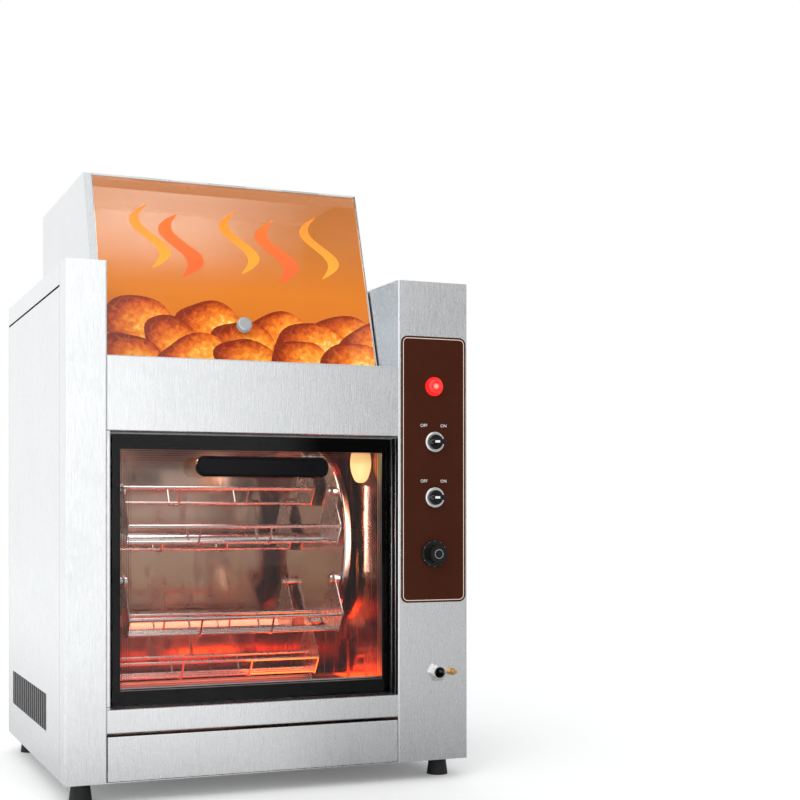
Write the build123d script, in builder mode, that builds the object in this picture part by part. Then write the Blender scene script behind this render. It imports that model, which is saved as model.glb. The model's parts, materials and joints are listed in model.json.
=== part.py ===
"""Countertop rotary potato oven with a heated display case.

Six wire baskets hang between two wheels and turn in a heated chamber behind a
drop-down glass door. A display case with a lift-up sloping glass stands on the
chamber, a control column on the right holds the switches and the gear motor,
and a crumb tray slides out below the door.

Millimetres. X runs to the right, Y to the back and Z up. The origin is on the
floor, under the middle of the whole oven.
"""

import math
import os

from build123d import *

# ---------------------------------------------------------------- sheet metal
sheet = 1.2  # casing sheet
liner = 1.0  # chamber and tray sheet
fold_radius = 2.0  # outside radius of a fold
seam = 0.6  # gap between neighbouring covers
slide_gap = 0.3  # gap under or beside a piece that moves
running_gap = 0.06  # radial clearance of a pin or shaft in its bore

# --------------------------------------------------------------------- casing
foot_height = 28.0
foot_radius = 15.5
foot_taper = 3.5  # the foot is this much thinner at its top
foot_side_inset = 28.0
foot_end_inset = 44.0
deck_rise = 124.0  # top of the two side boxes above the crossbar
display_rise = 277.0  # top of the display above the crossbar
left_box_width = 55.0
column_width = 109.0
corner_return = 41.0  # side face of a front post
deck_band = 29.0  # side face of a top cover
deck_gap = 3.0  # dark gap under the band
rear_fold = 18.0
pan_flange = 20.0

# -------------------------------------------------- front bars and crumb tray
tray_front_height = 60.8  # from the floor of the casing to the top of the tray's front
rail_gap = 3.0
rail_height = 32.0
rail_setback = 3.0  # shelves of the bottom rail end this far before the door
crossbar_rise = 150.0  # lower edge of the crossbar above the rotor's axis
crossbar_height = 100.0
tray_side_room = 17.0
tray_rear_room = 49.8
tray_wall_drop = 10.0  # tray's walls below the top of its front
tray_lip = 12.0
runner_height = 22.0
runner_foot = 17.0

# ----------------------------------------------------------------------- door
door_recess = 27.0  # from the front of the casing to the glass
jamb_step = 10.5  # strip of casing left of the door
door_side_gap = 1.3
door_top_gap = 2.5
door_glass = 4.0
door_frame_depth = 16.0
door_frame_rise = 3.5  # glass hangs this far below its frame
door_border_side = 11.5
door_border_end = 20.0
hinge_pin_cover = 0.5  # between the glass and the hinge pins
hinge_rest = 1.0  # open door lies this far above the bottom rail
hinge_rise = 8.5  # hinge line above the lower edge of the glass
hinge_pin_radius = 2.5
seal_width = 6.0
seal_height = 3.7
seal_inset = 2.0
handle_length = 188.0
handle_height = 28.0
handle_depth = 14.0
handle_standoff = 26.0
handle_below_top = 43.5  # centre of the bar below the top of the door
handle_post_inset = 32.0
handle_post_radius = 7.0
handle_stud_radius = 3.0
handle_nut_radius = 6.0
handle_nut = 5.0

# -------------------------------------------------------------------- chamber
chamber_left_room = 23.0  # insulation between left post and chamber
chamber_right_room = 7.0
back_insulation = 27.8
top_insulation = 43.8
floor_above_tray = 6.0  # chamber floor above the tray's front
mouth_sill = 3.0  # sill of the mouth above the door's window
mouth_head = 6.0
mouth_right_lip = 4.0
crumb_slot_margin_x = 24.0
crumb_slot_front = 42.0
crumb_slot_back = 60.0

# ---------------------------------------------------------------------- rotor
basket_count = 6
first_basket_angle = 34.0  # above the forward direction, degrees
pivot_radius = 132.0
rotor_front_room = 54.0  # from the chamber's face to the turning baskets
rotor_back_room = 30.0
rotor_floor_room = 13.4  # from the floor tubes to the turning baskets
wheel_margin = 10.0  # wheel's edge beyond the pivots
wheel_rim = 11.0
wheel_sheet = 1.5
wheel_bend = 4.0
wheel_side_room = 22.5  # between a wheel and the chamber's wall
hub_radius = 18.0
hub_length = 14.0
shaft_radius = 8.0
bearing_flange_radius = 26.0
bearing_flange = 4.0
bearing_boss_radius = 14.0
bearing_boss = 12.0

# -------------------------------------------------------------------- baskets
basket_length = 322.0
basket_side_room = 9.5  # between a basket and the wheel
plate_sheet = 1.5
plate_eye_radius = 9.0
plate_corner_radius = 4.0
rail_drop = 53.0  # upper rails below the pivot
rail_half = 42.5
floor_drop = 76.0  # lower rods below the pivot
floor_half = 26.0
rail_radius = 2.5
rod_radius = 2.0
hoop_radius = 1.5
hoop_bend = 9.0
weld = 0.4  # crossing wires sink this far into each other
pivot_pin_radius = 4.0
pin_collar_radius = 6.5
pin_nut_radius = 6.0
pin_nut = 3.9
pin_head = 5.5
end_float = 0.6  # basket's play along its pins

# -------------------------------------------------------------------- heating
tube_radius = 6.0
floor_tube_rise = 16.0  # above the chamber's floor
floor_tube_pitch = 150.0
rear_tube_rise = 101.0
rear_tube_room = 28.0  # from the chamber's back wall to the tube's axis
cap_radius = 9.0
cap_neck_radius = 7.0
cap_length = 16.0
cap_neck = 3.0
tube_seat = 8.0  # tube's end inside its cap

# ----------------------------------------------------------------- oven lamp
lamp_side_gap = 4.5  # between the lamp holder and the chamber's right wall
lamp_front_gap = 17.0
bulb_radius = 15.5
bulb_length = 62.0
bulb_neck_length = 15.0
bulb_neck_radius = 7.0
holder_radius = 14.0
holder_depth = 42.0

# --------------------------------------------------------------- display case
sill_setback = 73.0  # foot of the glass behind the front of the casing
crown_setback = 167.0
back_wall_setback = 407.0
display_right_gap = 2.0
glass_flange = 11.0
lid_glass_thickness = 5.0
lid_gap = 0.8
lid_stop = 12.0
barrel_radius = 2.5
barrel_pin_radius = 1.0
barrel_set_in = 3.5  # hinge line behind the outer face of the glass
knuckle_count = 7
knuckle_gap = 0.4
leaf_width = 16.0
leaf_sheet = 1.0
lid_knob_radius = 10.5
lid_knob_length = 17.0
lid_knob_height = 55.0  # above the sill
lid_knob_stem_radius = 5.0
lid_knob_nut = 4.0
flange_slot_width = 6.0
flange_slot_length = 13.0
flange_slot_drop = 23.0  # below the top of the display
flange_slot_room = 19.0  # in front of the display's back wall
side_rib_width = 18.0
side_rib_depth = 4.0
side_rib_room = 58.0  # from the rib to the display's back wall
side_rib_ends = 12.0  # plain wall above and below the rib

# --------------------------------------------------------------- controls
fascia_sheet = 1.0
fascia_left_margin = 4.5
fascia_right_margin = 3.0
fascia_drop = 79.0  # top of the fascia below the top of the column
fascia_height = 383.0
fascia_corner = 10.0
indicator_drop = 72.0  # below the top of the fascia
selector_pitch = 80.0
thermostat_drop = 81.0  # below the lower selector
indicator_lens_radius = 11.75
indicator_bezel_radius = 13.5
indicator_bezel = 3.0
switch_neck_radius = 11.0
bezel_radius = 15.0
bezel_height = 6.0
contact_block = 30.0
contact_block_depth = 42.0
selector_height = 22.0  # knob's front above the fascia
selector_disc_radius = 10.5
selector_disc = 9.0
selector_grip_width = 7.5
selector_edge = 1.5
selector_stem_radius = 4.0
dial_radius = 19.5
dial_skirt = 4.0
dial_grip_radius = 13.0
dial_height = 19.0
dial_flutes = 12
dial_stem_radius = 3.0
dial_bush_radius = 5.0
thermostat_width = 42.0
thermostat_body_height = 34.0
thermostat_depth = 36.0
sensor_radius = 3.0
sensor_length = 90.0
sensor_back_room = 20.0
sensor_drop = 43.0  # below the chamber's ceiling

# ------------------------------------------------------- supply and earthing
gland_from_column = 61.0
gland_height = 155.0
gland_flats = 24.0
gland_head = 5.0
gland_collar = 5.0
gland_collar_radius = 10.4
gland_neck_radius = 10.0
gland_bore_radius = 7.9
gland_inside = 12.0
gland_nut_flats = 27.0
gland_nut = 5.0
stud_from_gland = 22.0
stud_radius = 3.0
stud_reach = 15.0
stud_nut_flats = 9.5
stud_nut = 6.0
stud_inside = 8.0
terminal_width = 22.0
terminal_depth = 62.0
terminal_height = 20.0
terminal_from_front = 150.0

# ------------------------------------------------------------------ gear motor
motor_radius = 30.0
motor_length = 42.0
motor_plate = 6.0
motor_plate_margin = 3.0  # plate's edge beyond the standoffs
standoff_radius = 4.0
standoff_gap = 2.5  # between the standoffs and the bearing's flange
coupling_radius = 12.0
coupling_gap = 1.4  # between the coupling and the bearing
coupling_length = 24.0
coupling_grip = 12.0  # rotor shaft's end inside the coupling
drive_shaft_radius = 4.0
drive_shaft_length = 18.0

# --------------------------------------------------------- louvres and screws
louvre_count = 17
louvre_pitch = 19.0
louvre_front = 152.0  # first louvre behind the front of the casing
louvre_bottom = 80.0
louvre_height = 52.0
louvre_slot = 11.0
louvre_blade = 14.0
louvre_angle = 35.0
vent_count = 8
vent_pitch = 12.0
vent_width = 5.0
vent_length = 60.0
vent_drop = 158.0  # below the top of the column
screw_radius = 3.5
screw_head = 2.0
screw_inset = 9.0
screw_rows = 5

# ------------------------------------------------------------- derived places
hinge_setback = door_glass + hinge_pin_radius + hinge_pin_cover  # behind the face of the glass
rotor_reach = pivot_radius + rail_half + rail_radius
hoop_drop = floor_drop + rod_radius + hoop_radius - weld
hoop_half = floor_half + rod_radius
rotor_drop = pivot_radius + hoop_drop + hoop_radius
wheel_radius = pivot_radius + wheel_margin

# Widths and depths add up from the chamber outwards.
chamber_width = basket_length + 2 * (basket_side_room + wheel_side_room)
case_width = left_box_width + chamber_left_room + chamber_width + chamber_right_room + column_width
face_depth = door_recess + door_glass + door_frame_depth + slide_gap + seal_height
axis_depth = face_depth + liner + rotor_front_room + rotor_reach
case_depth = axis_depth + rotor_reach + rotor_back_room + liner + back_insulation + sheet
front_reach = fascia_sheet + selector_height
x_left = -case_width / 2
x_right = case_width / 2
y_front = -(case_depth + screw_head - front_reach) / 2
y_rear = y_front + case_depth
y_inside_rear = y_rear - sheet
jamb_left = x_left + left_box_width
jamb_right = x_right - column_width

# Heights add up from the floor to the top of the display.
pan_top = foot_height + sheet
tray_bottom = pan_top + sheet + slide_gap
tray_front_top = pan_top + tray_front_height
tray_wall_top = tray_front_top - tray_wall_drop
rail_bottom = tray_front_top + rail_gap
rail_top = rail_bottom + rail_height
chamber_floor_height = tray_front_top + floor_above_tray
floor_tube_height = chamber_floor_height + floor_tube_rise
axis_height = floor_tube_height + tube_radius + rotor_floor_room + rotor_drop
crossbar_bottom = axis_height + crossbar_rise
crossbar_top = crossbar_bottom + crossbar_height
chamber_ceiling_height = crossbar_top - sheet - top_insulation - liner
deck_height = crossbar_top + deck_rise
display_height = crossbar_top + display_rise
tray_left = jamb_left + tray_side_room
tray_right = jamb_right - tray_side_room
y_tray_back = y_inside_rear - tray_rear_room

door_left = jamb_left + jamb_step + door_side_gap
door_right = jamb_right - door_side_gap
door_mid = (door_left + door_right) / 2
door_top = crossbar_bottom - door_top_gap
y_glass = y_front + door_recess
y_door_frame = y_glass + door_glass
y_door_back = y_door_frame + door_frame_depth
hinge_y = y_glass + hinge_setback
hinge_z = rail_top + hinge_rest + hinge_setback
door_bottom = hinge_z - hinge_rise
frame_bottom = door_bottom + door_frame_rise
window_left = door_left + door_border_side
window_right = door_right - door_border_side
window_bottom = door_bottom + door_border_end
window_top = door_top - door_border_end
handle_z = door_top - handle_below_top
y_face = y_front + face_depth

chamber_left = jamb_left + chamber_left_room
chamber_right = chamber_left + chamber_width
chamber_mid = (chamber_left + chamber_right) / 2
chamber_back = y_inside_rear - back_insulation - liner
y_chamber_front = y_face + liner
mouth_right = chamber_right - mouth_right_lip
mouth_bottom = window_bottom + mouth_sill
mouth_top = window_top + mouth_head

axis_y = y_front + axis_depth
wheel_left = chamber_left + wheel_side_room
wheel_right = chamber_right - wheel_side_room
basket_left = wheel_left + basket_side_room
basket_right = wheel_right - basket_side_room
basket_angles = [first_basket_angle - k * 360.0 / basket_count for k in range(basket_count)]
shaft_left = chamber_left - liner - bearing_boss - bearing_flange
coupling_left = jamb_right + sheet + bearing_flange + coupling_gap
shaft_right = coupling_left + coupling_grip
motor_front = coupling_left + coupling_length + seam
standoff_ring = bearing_flange_radius + standoff_radius + standoff_gap
motor_plate_size = math.sqrt(2) * standoff_ring + 2 * (standoff_radius + motor_plate_margin)

tube_places = [
    (axis_y - floor_tube_pitch / 2, floor_tube_height),
    (axis_y + floor_tube_pitch / 2, floor_tube_height),
    (chamber_back - rear_tube_room, chamber_floor_height + rear_tube_rise),
]
lamp_x = chamber_right - holder_radius - lamp_side_gap
lamp_y = y_chamber_front + holder_radius + lamp_front_gap
bulb_top = chamber_ceiling_height - holder_depth - bulb_neck_length
lamp_tip_height = bulb_top - bulb_length
sensor_place = (chamber_back - sensor_back_room, chamber_ceiling_height - sensor_drop)

display_left = jamb_left
display_right = jamb_right - display_right_gap
roof_under = display_height - sheet
glass_tilt = math.atan2(crown_setback - sill_setback, display_rise)
lid_left = display_left + glass_flange + lid_gap
lid_right = display_right - sheet - lid_gap
lid_mid = (lid_left + lid_right) / 2
lid_hinge_z = display_height - barrel_radius
lid_hinge_run = (lid_hinge_z - crossbar_top + barrel_set_in * math.sin(glass_tilt)) / math.cos(glass_tilt)
lid_hinge_y = (
    y_front
    + sill_setback
    + lid_hinge_run * math.sin(glass_tilt)
    + barrel_set_in * math.cos(glass_tilt)
)
lid_top_run = lid_hinge_run - barrel_radius - slide_gap
# The glass is cut square, so its rear edge hangs lower than its front edge.
lid_foot_run = (lid_glass_thickness * math.sin(glass_tilt) + lid_gap) / math.cos(glass_tilt)
flange_foot_run = (sheet * math.sin(glass_tilt) + slide_gap) / math.cos(glass_tilt)
roof_front = lid_hinge_y + barrel_radius + lid_gap

y_fascia = y_front - fascia_sheet
fascia_left = jamb_right + fascia_left_margin
fascia_right = x_right - fascia_right_margin
control_x = (fascia_left + fascia_right) / 2
fascia_top = deck_height - fascia_drop
indicator_height = fascia_top - indicator_drop
selector_heights = [indicator_height - selector_pitch, indicator_height - 2 * selector_pitch]
thermostat_height = selector_heights[-1] - thermostat_drop
gland_x = jamb_right + gland_from_column
stud_x = gland_x + stud_from_gland


# --------------------------------------------------------------------- helpers
def level(z):
    """Horizontal plane at height z; a sketch on it is extruded upwards."""
    return Plane.XY.offset(z)


def upright(y):
    """Plane across the oven at depth y, in (x, z); extruded to the front."""
    return Plane.XZ.offset(-y)


def side(x):
    """Plane along the oven at x, in (y, z); extruded to the right."""
    return Plane.YZ.offset(x)


def span(a_low, a_high, b_low, b_high, mode=Mode.ADD):
    """Rectangle between two limits on each axis of the open sketch."""
    with Locations(((a_low + a_high) / 2, (b_low + b_high) / 2)):
        Rectangle(a_high - a_low, b_high - b_low, mode=mode)


def folded_sheet(points, inside, thickness=sheet):
    """Profile of a folded sheet whose outer line follows the points."""
    with BuildLine() as outline:
        FilletPolyline(*points, radius=fold_radius)
        offset(amount=thickness, side=inside)
    make_face(outline.edges())


def basket_pivot(angle):
    """Depth and height of the pivot that stands at an angle above forward."""
    turn = math.radians(angle)
    return axis_y - pivot_radius * math.cos(turn), axis_height + pivot_radius * math.sin(turn)


def glass_plane(inset=0.0):
    """Plane of the sloping display glass, in (x, run up the slope)."""
    outward = Vector(0, -math.cos(glass_tilt), math.sin(glass_tilt))
    foot = Vector(0, y_front + sill_setback, crossbar_top) - outward * inset
    return Plane(origin=foot, x_dir=(1, 0, 0), z_dir=outward)


def glass_y(z):
    """Depth of the outer face of the display glass at height z."""
    return y_front + sill_setback + (z - crossbar_top) * math.tan(glass_tilt)


def save(made, name):
    """Label a finished piece and write it as its own STEP file."""
    made.part.label = name
    export_step(made.part, f"parts/{name}.step")


os.makedirs("parts", exist_ok=True)

# ------------------------------------------------------------- base and feet
with BuildPart() as base_pan:
    with BuildSketch(level(foot_height)):
        span(x_left, x_right, y_front, y_rear)
    extrude(amount=sheet)
    with BuildSketch(level(pan_top)):
        for x in (x_left + sheet, x_right - 2 * sheet):
            span(x, x + sheet, y_front + corner_return + fold_radius, y_rear - rear_fold)
    extrude(amount=pan_flange)
save(base_pan, "base_pan")

with BuildPart() as rubber_feet:
    with BuildSketch(Plane.XY):
        with Locations((0, (y_front + y_rear) / 2)):
            with GridLocations(
                case_width - 2 * foot_side_inset, case_depth - 2 * foot_end_inset, 2, 2
            ):
                Circle(foot_radius)
    extrude(amount=foot_height, taper=math.degrees(math.atan2(foot_taper, foot_height)))
save(rubber_feet, "rubber_feet")

# --------------------------------------------------------- posts and side covers
with BuildPart() as left_post:
    with BuildSketch(level(pan_top)):
        folded_sheet(
            [
                (x_left, y_front + corner_return),
                (x_left, y_front),
                (jamb_left, y_front),
                (jamb_left, y_glass),
            ],
            Side.LEFT,
        )
    extrude(amount=deck_height - pan_top)
    # The strip beside the door, which also carries the left hinge pin.
    with BuildSketch(level(pan_top)):
        folded_sheet(
            [
                (jamb_left - sheet, y_glass),
                (jamb_left + jamb_step, y_glass),
                (jamb_left + jamb_step, y_face),
            ],
            Side.LEFT,
        )
    extrude(amount=crossbar_bottom - pan_top)
    with BuildSketch(side(jamb_left + jamb_step - 2 * sheet)):
        with Locations((hinge_y, hinge_z)):
            Circle(hinge_pin_radius + running_gap)
    extrude(amount=3 * sheet, mode=Mode.SUBTRACT)
save(left_post, "left_post")

panel_top = deck_height - deck_band - deck_gap
panel_front = y_front + corner_return + seam

with BuildPart() as left_side_panel:
    with BuildSketch(level(pan_top)):
        folded_sheet(
            [(x_left + rear_fold, y_inside_rear), (x_left, y_inside_rear), (x_left, panel_front)],
            Side.LEFT,
        )
    extrude(amount=panel_top - pan_top)
    first_louvre = y_front + louvre_front + louvre_slot / 2
    louvre_centres = [first_louvre + k * louvre_pitch for k in range(louvre_count)]
    louvre_mid = louvre_bottom + louvre_height / 2
    with BuildSketch(side(x_left - sheet)):
        with Locations(*[(y, louvre_mid) for y in louvre_centres]):
            Rectangle(louvre_slot, louvre_height)
    extrude(amount=3 * sheet, mode=Mode.SUBTRACT)
    # Each blade is bent inwards from the rear edge of its slot.
    blade_x = math.sin(math.radians(louvre_angle)) * louvre_blade / 2
    blade_y = math.cos(math.radians(louvre_angle)) * louvre_blade / 2
    with Locations(
        *[
            Location(
                (x_left + sheet / 2 + blade_x, y + louvre_slot / 2 + sheet / 2 - blade_y, louvre_mid),
                (0, 0, louvre_angle),
            )
            for y in louvre_centres
        ]
    ):
        Box(liner, louvre_blade, louvre_height)
save(left_side_panel, "left_side_panel")

with BuildPart() as right_side_panel:
    mirror(left_side_panel.part, about=Plane.YZ)
save(right_side_panel, "right_side_panel")


def side_box_cover(x_outer, x_inner):
    """Cover of a side box: a top with a band folded down outside."""
    outward = 1 if x_outer > x_inner else -1
    with BuildPart() as cover:
        with BuildSketch(Plane.XZ.offset(-y_inside_rear)):
            folded_sheet(
                [(x_outer, deck_height - deck_band), (x_outer, deck_height), (x_inner, deck_height)],
                Side.RIGHT if outward < 0 else Side.LEFT,
            )
        extrude(amount=y_inside_rear - panel_front)
        with BuildSketch(level(deck_height - sheet)):
            low, high = sorted((x_outer - outward * (sheet + seam), x_inner + outward * (sheet + seam)))
            span(low, high, y_front + sheet + seam, panel_front)
        extrude(amount=sheet)
    return cover


left_deck = side_box_cover(x_left, jamb_left)
save(left_deck, "left_deck")
column_deck = side_box_cover(x_right, jamb_right + sheet)
save(column_deck, "column_deck")

# ------------------------------------------------------------ control column
with BuildPart() as column_shell:
    with BuildSketch(level(pan_top)):
        folded_sheet(
            [
                (jamb_right, y_inside_rear),
                (jamb_right, y_front),
                (x_right, y_front),
                (x_right, y_front + corner_return),
            ],
            Side.LEFT,
        )
    extrude(amount=deck_height - pan_top)
    with BuildSketch(upright(y_front + 2 * sheet)):
        with Locations((control_x, indicator_height), *[(control_x, z) for z in selector_heights]):
            Circle(switch_neck_radius)
        with Locations((control_x, thermostat_height)):
            Circle(dial_bush_radius)
        with Locations((gland_x, gland_height)):
            Circle(gland_neck_radius)
        with Locations((stud_x, gland_height)):
            Circle(stud_radius)
    extrude(amount=3 * sheet, mode=Mode.SUBTRACT)
    with BuildSketch(side(jamb_right - sheet)):
        with Locations((hinge_y, hinge_z)):
            Circle(hinge_pin_radius + running_gap)
        with Locations((axis_y, axis_height)):
            Circle(bearing_boss_radius)
        with Locations(*tube_places):
            Circle(cap_radius + seam)
        with Locations(sensor_place):
            Circle(sensor_radius)
    extrude(amount=3 * sheet, mode=Mode.SUBTRACT)
save(column_shell, "column_shell")

# ---------------------------------------------------- front bars and rear panel
stop_run = lid_glass_thickness + slide_gap
ledge_back = y_front + sill_setback + stop_run / math.cos(glass_tilt)

with BuildPart() as crossbar:
    with BuildSketch(side(jamb_left)):
        folded_sheet(
            [
                (y_face, crossbar_bottom),
                (y_front, crossbar_bottom),
                (y_front, crossbar_top),
                (ledge_back, crossbar_top),
                (
                    ledge_back + lid_stop * math.sin(glass_tilt),
                    crossbar_top + lid_stop * math.cos(glass_tilt),
                ),
            ],
            Side.RIGHT,
        )
    extrude(amount=jamb_right - jamb_left)
    # The upturned stop behind the glass ends short of the two walls.
    with BuildSketch(level(crossbar_top)):
        span(jamb_left, lid_left, y_front + sill_setback, ledge_back + lid_stop)
        span(lid_right, jamb_right, y_front + sill_setback, ledge_back + lid_stop)
    extrude(amount=2 * lid_stop, mode=Mode.SUBTRACT)
save(crossbar, "crossbar")

with BuildPart() as bottom_rail:
    with BuildSketch(side(jamb_left)):
        folded_sheet(
            [
                (y_glass - rail_setback, rail_bottom),
                (y_front, rail_bottom),
                (y_front, rail_top),
                (y_glass - rail_setback, rail_top),
            ],
            Side.RIGHT,
        )
    extrude(amount=jamb_right - jamb_left)
save(bottom_rail, "bottom_rail")

with BuildPart() as rear_panel:
    with BuildSketch(upright(y_rear)):
        span(x_left, x_right, pan_top, deck_height)
        span(display_left, display_right, deck_height, roof_under)
        with Locations((control_x, deck_height - vent_drop)):
            with GridLocations(0, vent_pitch, 1, vent_count):
                SlotOverall(vent_length, vent_width, mode=Mode.SUBTRACT)
    extrude(amount=sheet)
save(rear_panel, "rear_panel")

with BuildPart() as casing_screws:
    with BuildSketch(upright(y_rear + screw_head)):
        with Locations((0, (pan_top + deck_height) / 2)):
            with GridLocations(
                case_width - 2 * screw_inset,
                (deck_height - pan_top - 4 * screw_inset) / (screw_rows - 1),
                2,
                screw_rows,
            ):
                Circle(screw_radius)
        with Locations(((display_left + display_right) / 2, display_height - 2 * screw_inset)):
            with GridLocations(display_right - display_left - 2 * screw_inset, 0, 2, 1):
                Circle(screw_radius)
    extrude(amount=screw_head)
    rims = casing_screws.faces().group_by(Axis.Y)[-1].edges()
    fillet(rims, radius=screw_head * 0.6)
save(casing_screws, "casing_screws")

# -------------------------------------------------------------- chamber walls
with BuildPart() as front_frame:
    with BuildSketch(upright(y_face + liner)):
        span(jamb_left, jamb_right, chamber_floor_height - liner, crossbar_top - sheet)
        span(chamber_left, mouth_right, mouth_bottom, mouth_top, mode=Mode.SUBTRACT)
    extrude(amount=liner)
save(front_frame, "front_frame")

with BuildPart() as door_seal:
    with BuildSketch(upright(y_face)):
        ring = seal_inset + seal_width
        span(chamber_left - ring, mouth_right + ring, mouth_bottom - ring, mouth_top + ring)
        span(
            chamber_left - seal_inset,
            mouth_right + seal_inset,
            mouth_bottom - seal_inset,
            mouth_top + seal_inset,
            mode=Mode.SUBTRACT,
        )
    extrude(amount=seal_height)
    fillet(door_seal.faces().sort_by(Axis.Y)[0].edges(), radius=seal_width / 4)
save(door_seal, "door_seal")


def chamber_side(x):
    """Side wall of the chamber, one liner sheet thick from x to the right."""
    with BuildPart() as wall:
        with BuildSketch(side(x)):
            span(y_chamber_front, chamber_back, chamber_floor_height - liner, chamber_ceiling_height + liner)
            with Locations((axis_y, axis_height)):
                Circle(bearing_boss_radius, mode=Mode.SUBTRACT)
            with Locations(*tube_places):
                Circle(cap_neck_radius, mode=Mode.SUBTRACT)
            if x > chamber_mid:
                with Locations(sensor_place):
                    Circle(sensor_radius, mode=Mode.SUBTRACT)
        extrude(amount=liner)
    return wall


chamber_left_wall = chamber_side(chamber_left - liner)
save(chamber_left_wall, "chamber_left_wall")
chamber_right_wall = chamber_side(chamber_right)
save(chamber_right_wall, "chamber_right_wall")

with BuildPart() as chamber_back_wall:
    with BuildSketch(upright(chamber_back + liner)):
        span(
            chamber_left - liner,
            chamber_right + liner,
            chamber_floor_height - liner,
            chamber_ceiling_height + liner,
        )
    extrude(amount=liner)
save(chamber_back_wall, "chamber_back_wall")

with BuildPart() as chamber_ceiling:
    with BuildSketch(level(chamber_ceiling_height)):
        span(chamber_left, chamber_right, y_chamber_front, chamber_back)
        with Locations((lamp_x, lamp_y)):
            Circle(holder_radius - liner, mode=Mode.SUBTRACT)
    extrude(amount=liner)
save(chamber_ceiling, "chamber_ceiling")

crumb_slot = (
    chamber_left + crumb_slot_margin_x,
    chamber_right - crumb_slot_margin_x,
    y_chamber_front + crumb_slot_front,
    chamber_back - crumb_slot_back,
)
with BuildPart() as chamber_floor:
    with BuildSketch(level(chamber_floor_height - liner)):
        span(chamber_left, chamber_right, y_chamber_front, chamber_back)
        span(*crumb_slot, mode=Mode.SUBTRACT)
    extrude(amount=liner)
save(chamber_floor, "chamber_floor")

with BuildPart() as insulation:
    # Left slab, clear of the bearing and the tube caps.
    with BuildSketch(side(jamb_left + sheet)):
        span(y_chamber_front + seam, chamber_back, chamber_floor_height, chamber_ceiling_height)
        with Locations((axis_y, axis_height)):
            Circle(bearing_flange_radius + seam, mode=Mode.SUBTRACT)
        with Locations(*tube_places):
            Circle(cap_radius + seam, mode=Mode.SUBTRACT)
    extrude(amount=chamber_left_room - sheet - liner)
    # Back slab between the chamber and the rear panel.
    with BuildSketch(upright(y_inside_rear)):
        span(chamber_left, chamber_right, chamber_floor_height, chamber_ceiling_height)
    extrude(amount=back_insulation)
    # Top slab under the floor of the display.
    with BuildSketch(level(chamber_ceiling_height + liner)):
        span(chamber_left, chamber_right, y_chamber_front + seam, chamber_back)
        with Locations((lamp_x, lamp_y)):
            Circle(holder_radius + seam, mode=Mode.SUBTRACT)
    extrude(amount=crossbar_top - sheet - chamber_ceiling_height - liner)
save(insulation, "insulation")

# --------------------------------------------------------------- display case
floor_front = ledge_back + sheet / math.cos(glass_tilt) + seam

with BuildPart() as display_floor:
    with BuildSketch(level(crossbar_top - sheet)):
        span(display_left + sheet, display_right - sheet, floor_front, y_inside_rear)
    extrude(amount=sheet)
save(display_floor, "display_floor")

with BuildPart() as display_left_wall:
    with BuildSketch(side(display_left)):
        with BuildLine():
            Polyline(
                (y_glass + seam, crossbar_top),
                (y_inside_rear, crossbar_top),
                (y_inside_rear, roof_under),
                (glass_y(roof_under), roof_under),
                (glass_y(deck_height), deck_height),
                (y_glass + seam, deck_height),
                close=True,
            )
        make_face()
    extrude(amount=sheet)
    with BuildSketch(glass_plane()):
        span(
            display_left,
            display_left + glass_flange,
            flange_foot_run,
            (roof_under - crossbar_top) / math.cos(glass_tilt),
        )
    extrude(amount=-sheet)
    with BuildSketch(level(roof_under)):
        span(display_left - sheet, display_left + 2 * glass_flange, y_front, y_rear)
    extrude(amount=2 * sheet, mode=Mode.SUBTRACT)
save(display_left_wall, "display_left_wall")

with BuildPart() as display_right_wall:
    with BuildSketch(side(display_right - sheet)):
        with BuildLine():
            Polyline(
                (glass_y(crossbar_top), crossbar_top),
                (y_inside_rear, crossbar_top),
                (y_inside_rear, roof_under),
                (glass_y(roof_under), roof_under),
                close=True,
            )
        make_face()
        with Locations(
            (y_front + back_wall_setback - flange_slot_room, display_height - flange_slot_drop)
        ):
            SlotOverall(flange_slot_length, flange_slot_width, rotation=90, mode=Mode.SUBTRACT)
    extrude(amount=sheet)
    rib_front = y_front + back_wall_setback - side_rib_room - side_rib_width
    for skin, mode in ((0.0, Mode.ADD), (sheet, Mode.SUBTRACT)):
        with BuildSketch(level(crossbar_top + side_rib_ends + skin)):
            span(
                display_right - sheet - side_rib_depth + skin,
                display_right,
                rib_front + skin,
                rib_front + side_rib_width - skin,
            )
        extrude(amount=roof_under - crossbar_top - 2 * (side_rib_ends + skin), mode=mode)
save(display_right_wall, "display_right_wall")

with BuildPart() as display_back_wall:
    with BuildSketch(upright(y_front + back_wall_setback + sheet)):
        span(display_left + sheet, display_right - sheet, crossbar_top, roof_under)
    extrude(amount=sheet)
save(display_back_wall, "display_back_wall")

knuckle_pitch = (lid_right - lid_left) / knuckle_count
fixed_knuckles = [k for k in range(knuckle_count) if k % 2 == 0]
moving_knuckles = [k for k in range(knuckle_count) if k % 2 == 1]


def knuckle_span(k):
    """Left and right end of a hinge knuckle."""
    start = lid_left + k * knuckle_pitch
    return start + knuckle_gap / 2, start + knuckle_pitch - knuckle_gap / 2


with BuildPart() as display_roof:
    with BuildSketch(level(roof_under)):
        span(display_left, display_right, roof_front, y_rear)
        for k in fixed_knuckles:
            span(*knuckle_span(k), lid_hinge_y, roof_front)
    extrude(amount=sheet)
    for k in fixed_knuckles:
        knuckle_start, knuckle_end = knuckle_span(k)
        with BuildSketch(side(knuckle_start)):
            with Locations((lid_hinge_y, lid_hinge_z)):
                Circle(barrel_radius)
        extrude(amount=knuckle_end - knuckle_start)
    with BuildSketch(side(display_left)):
        with Locations((lid_hinge_y, lid_hinge_z)):
            Circle(barrel_pin_radius + running_gap)
    extrude(amount=display_right - display_left, mode=Mode.SUBTRACT)
save(display_roof, "display_roof")

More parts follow.
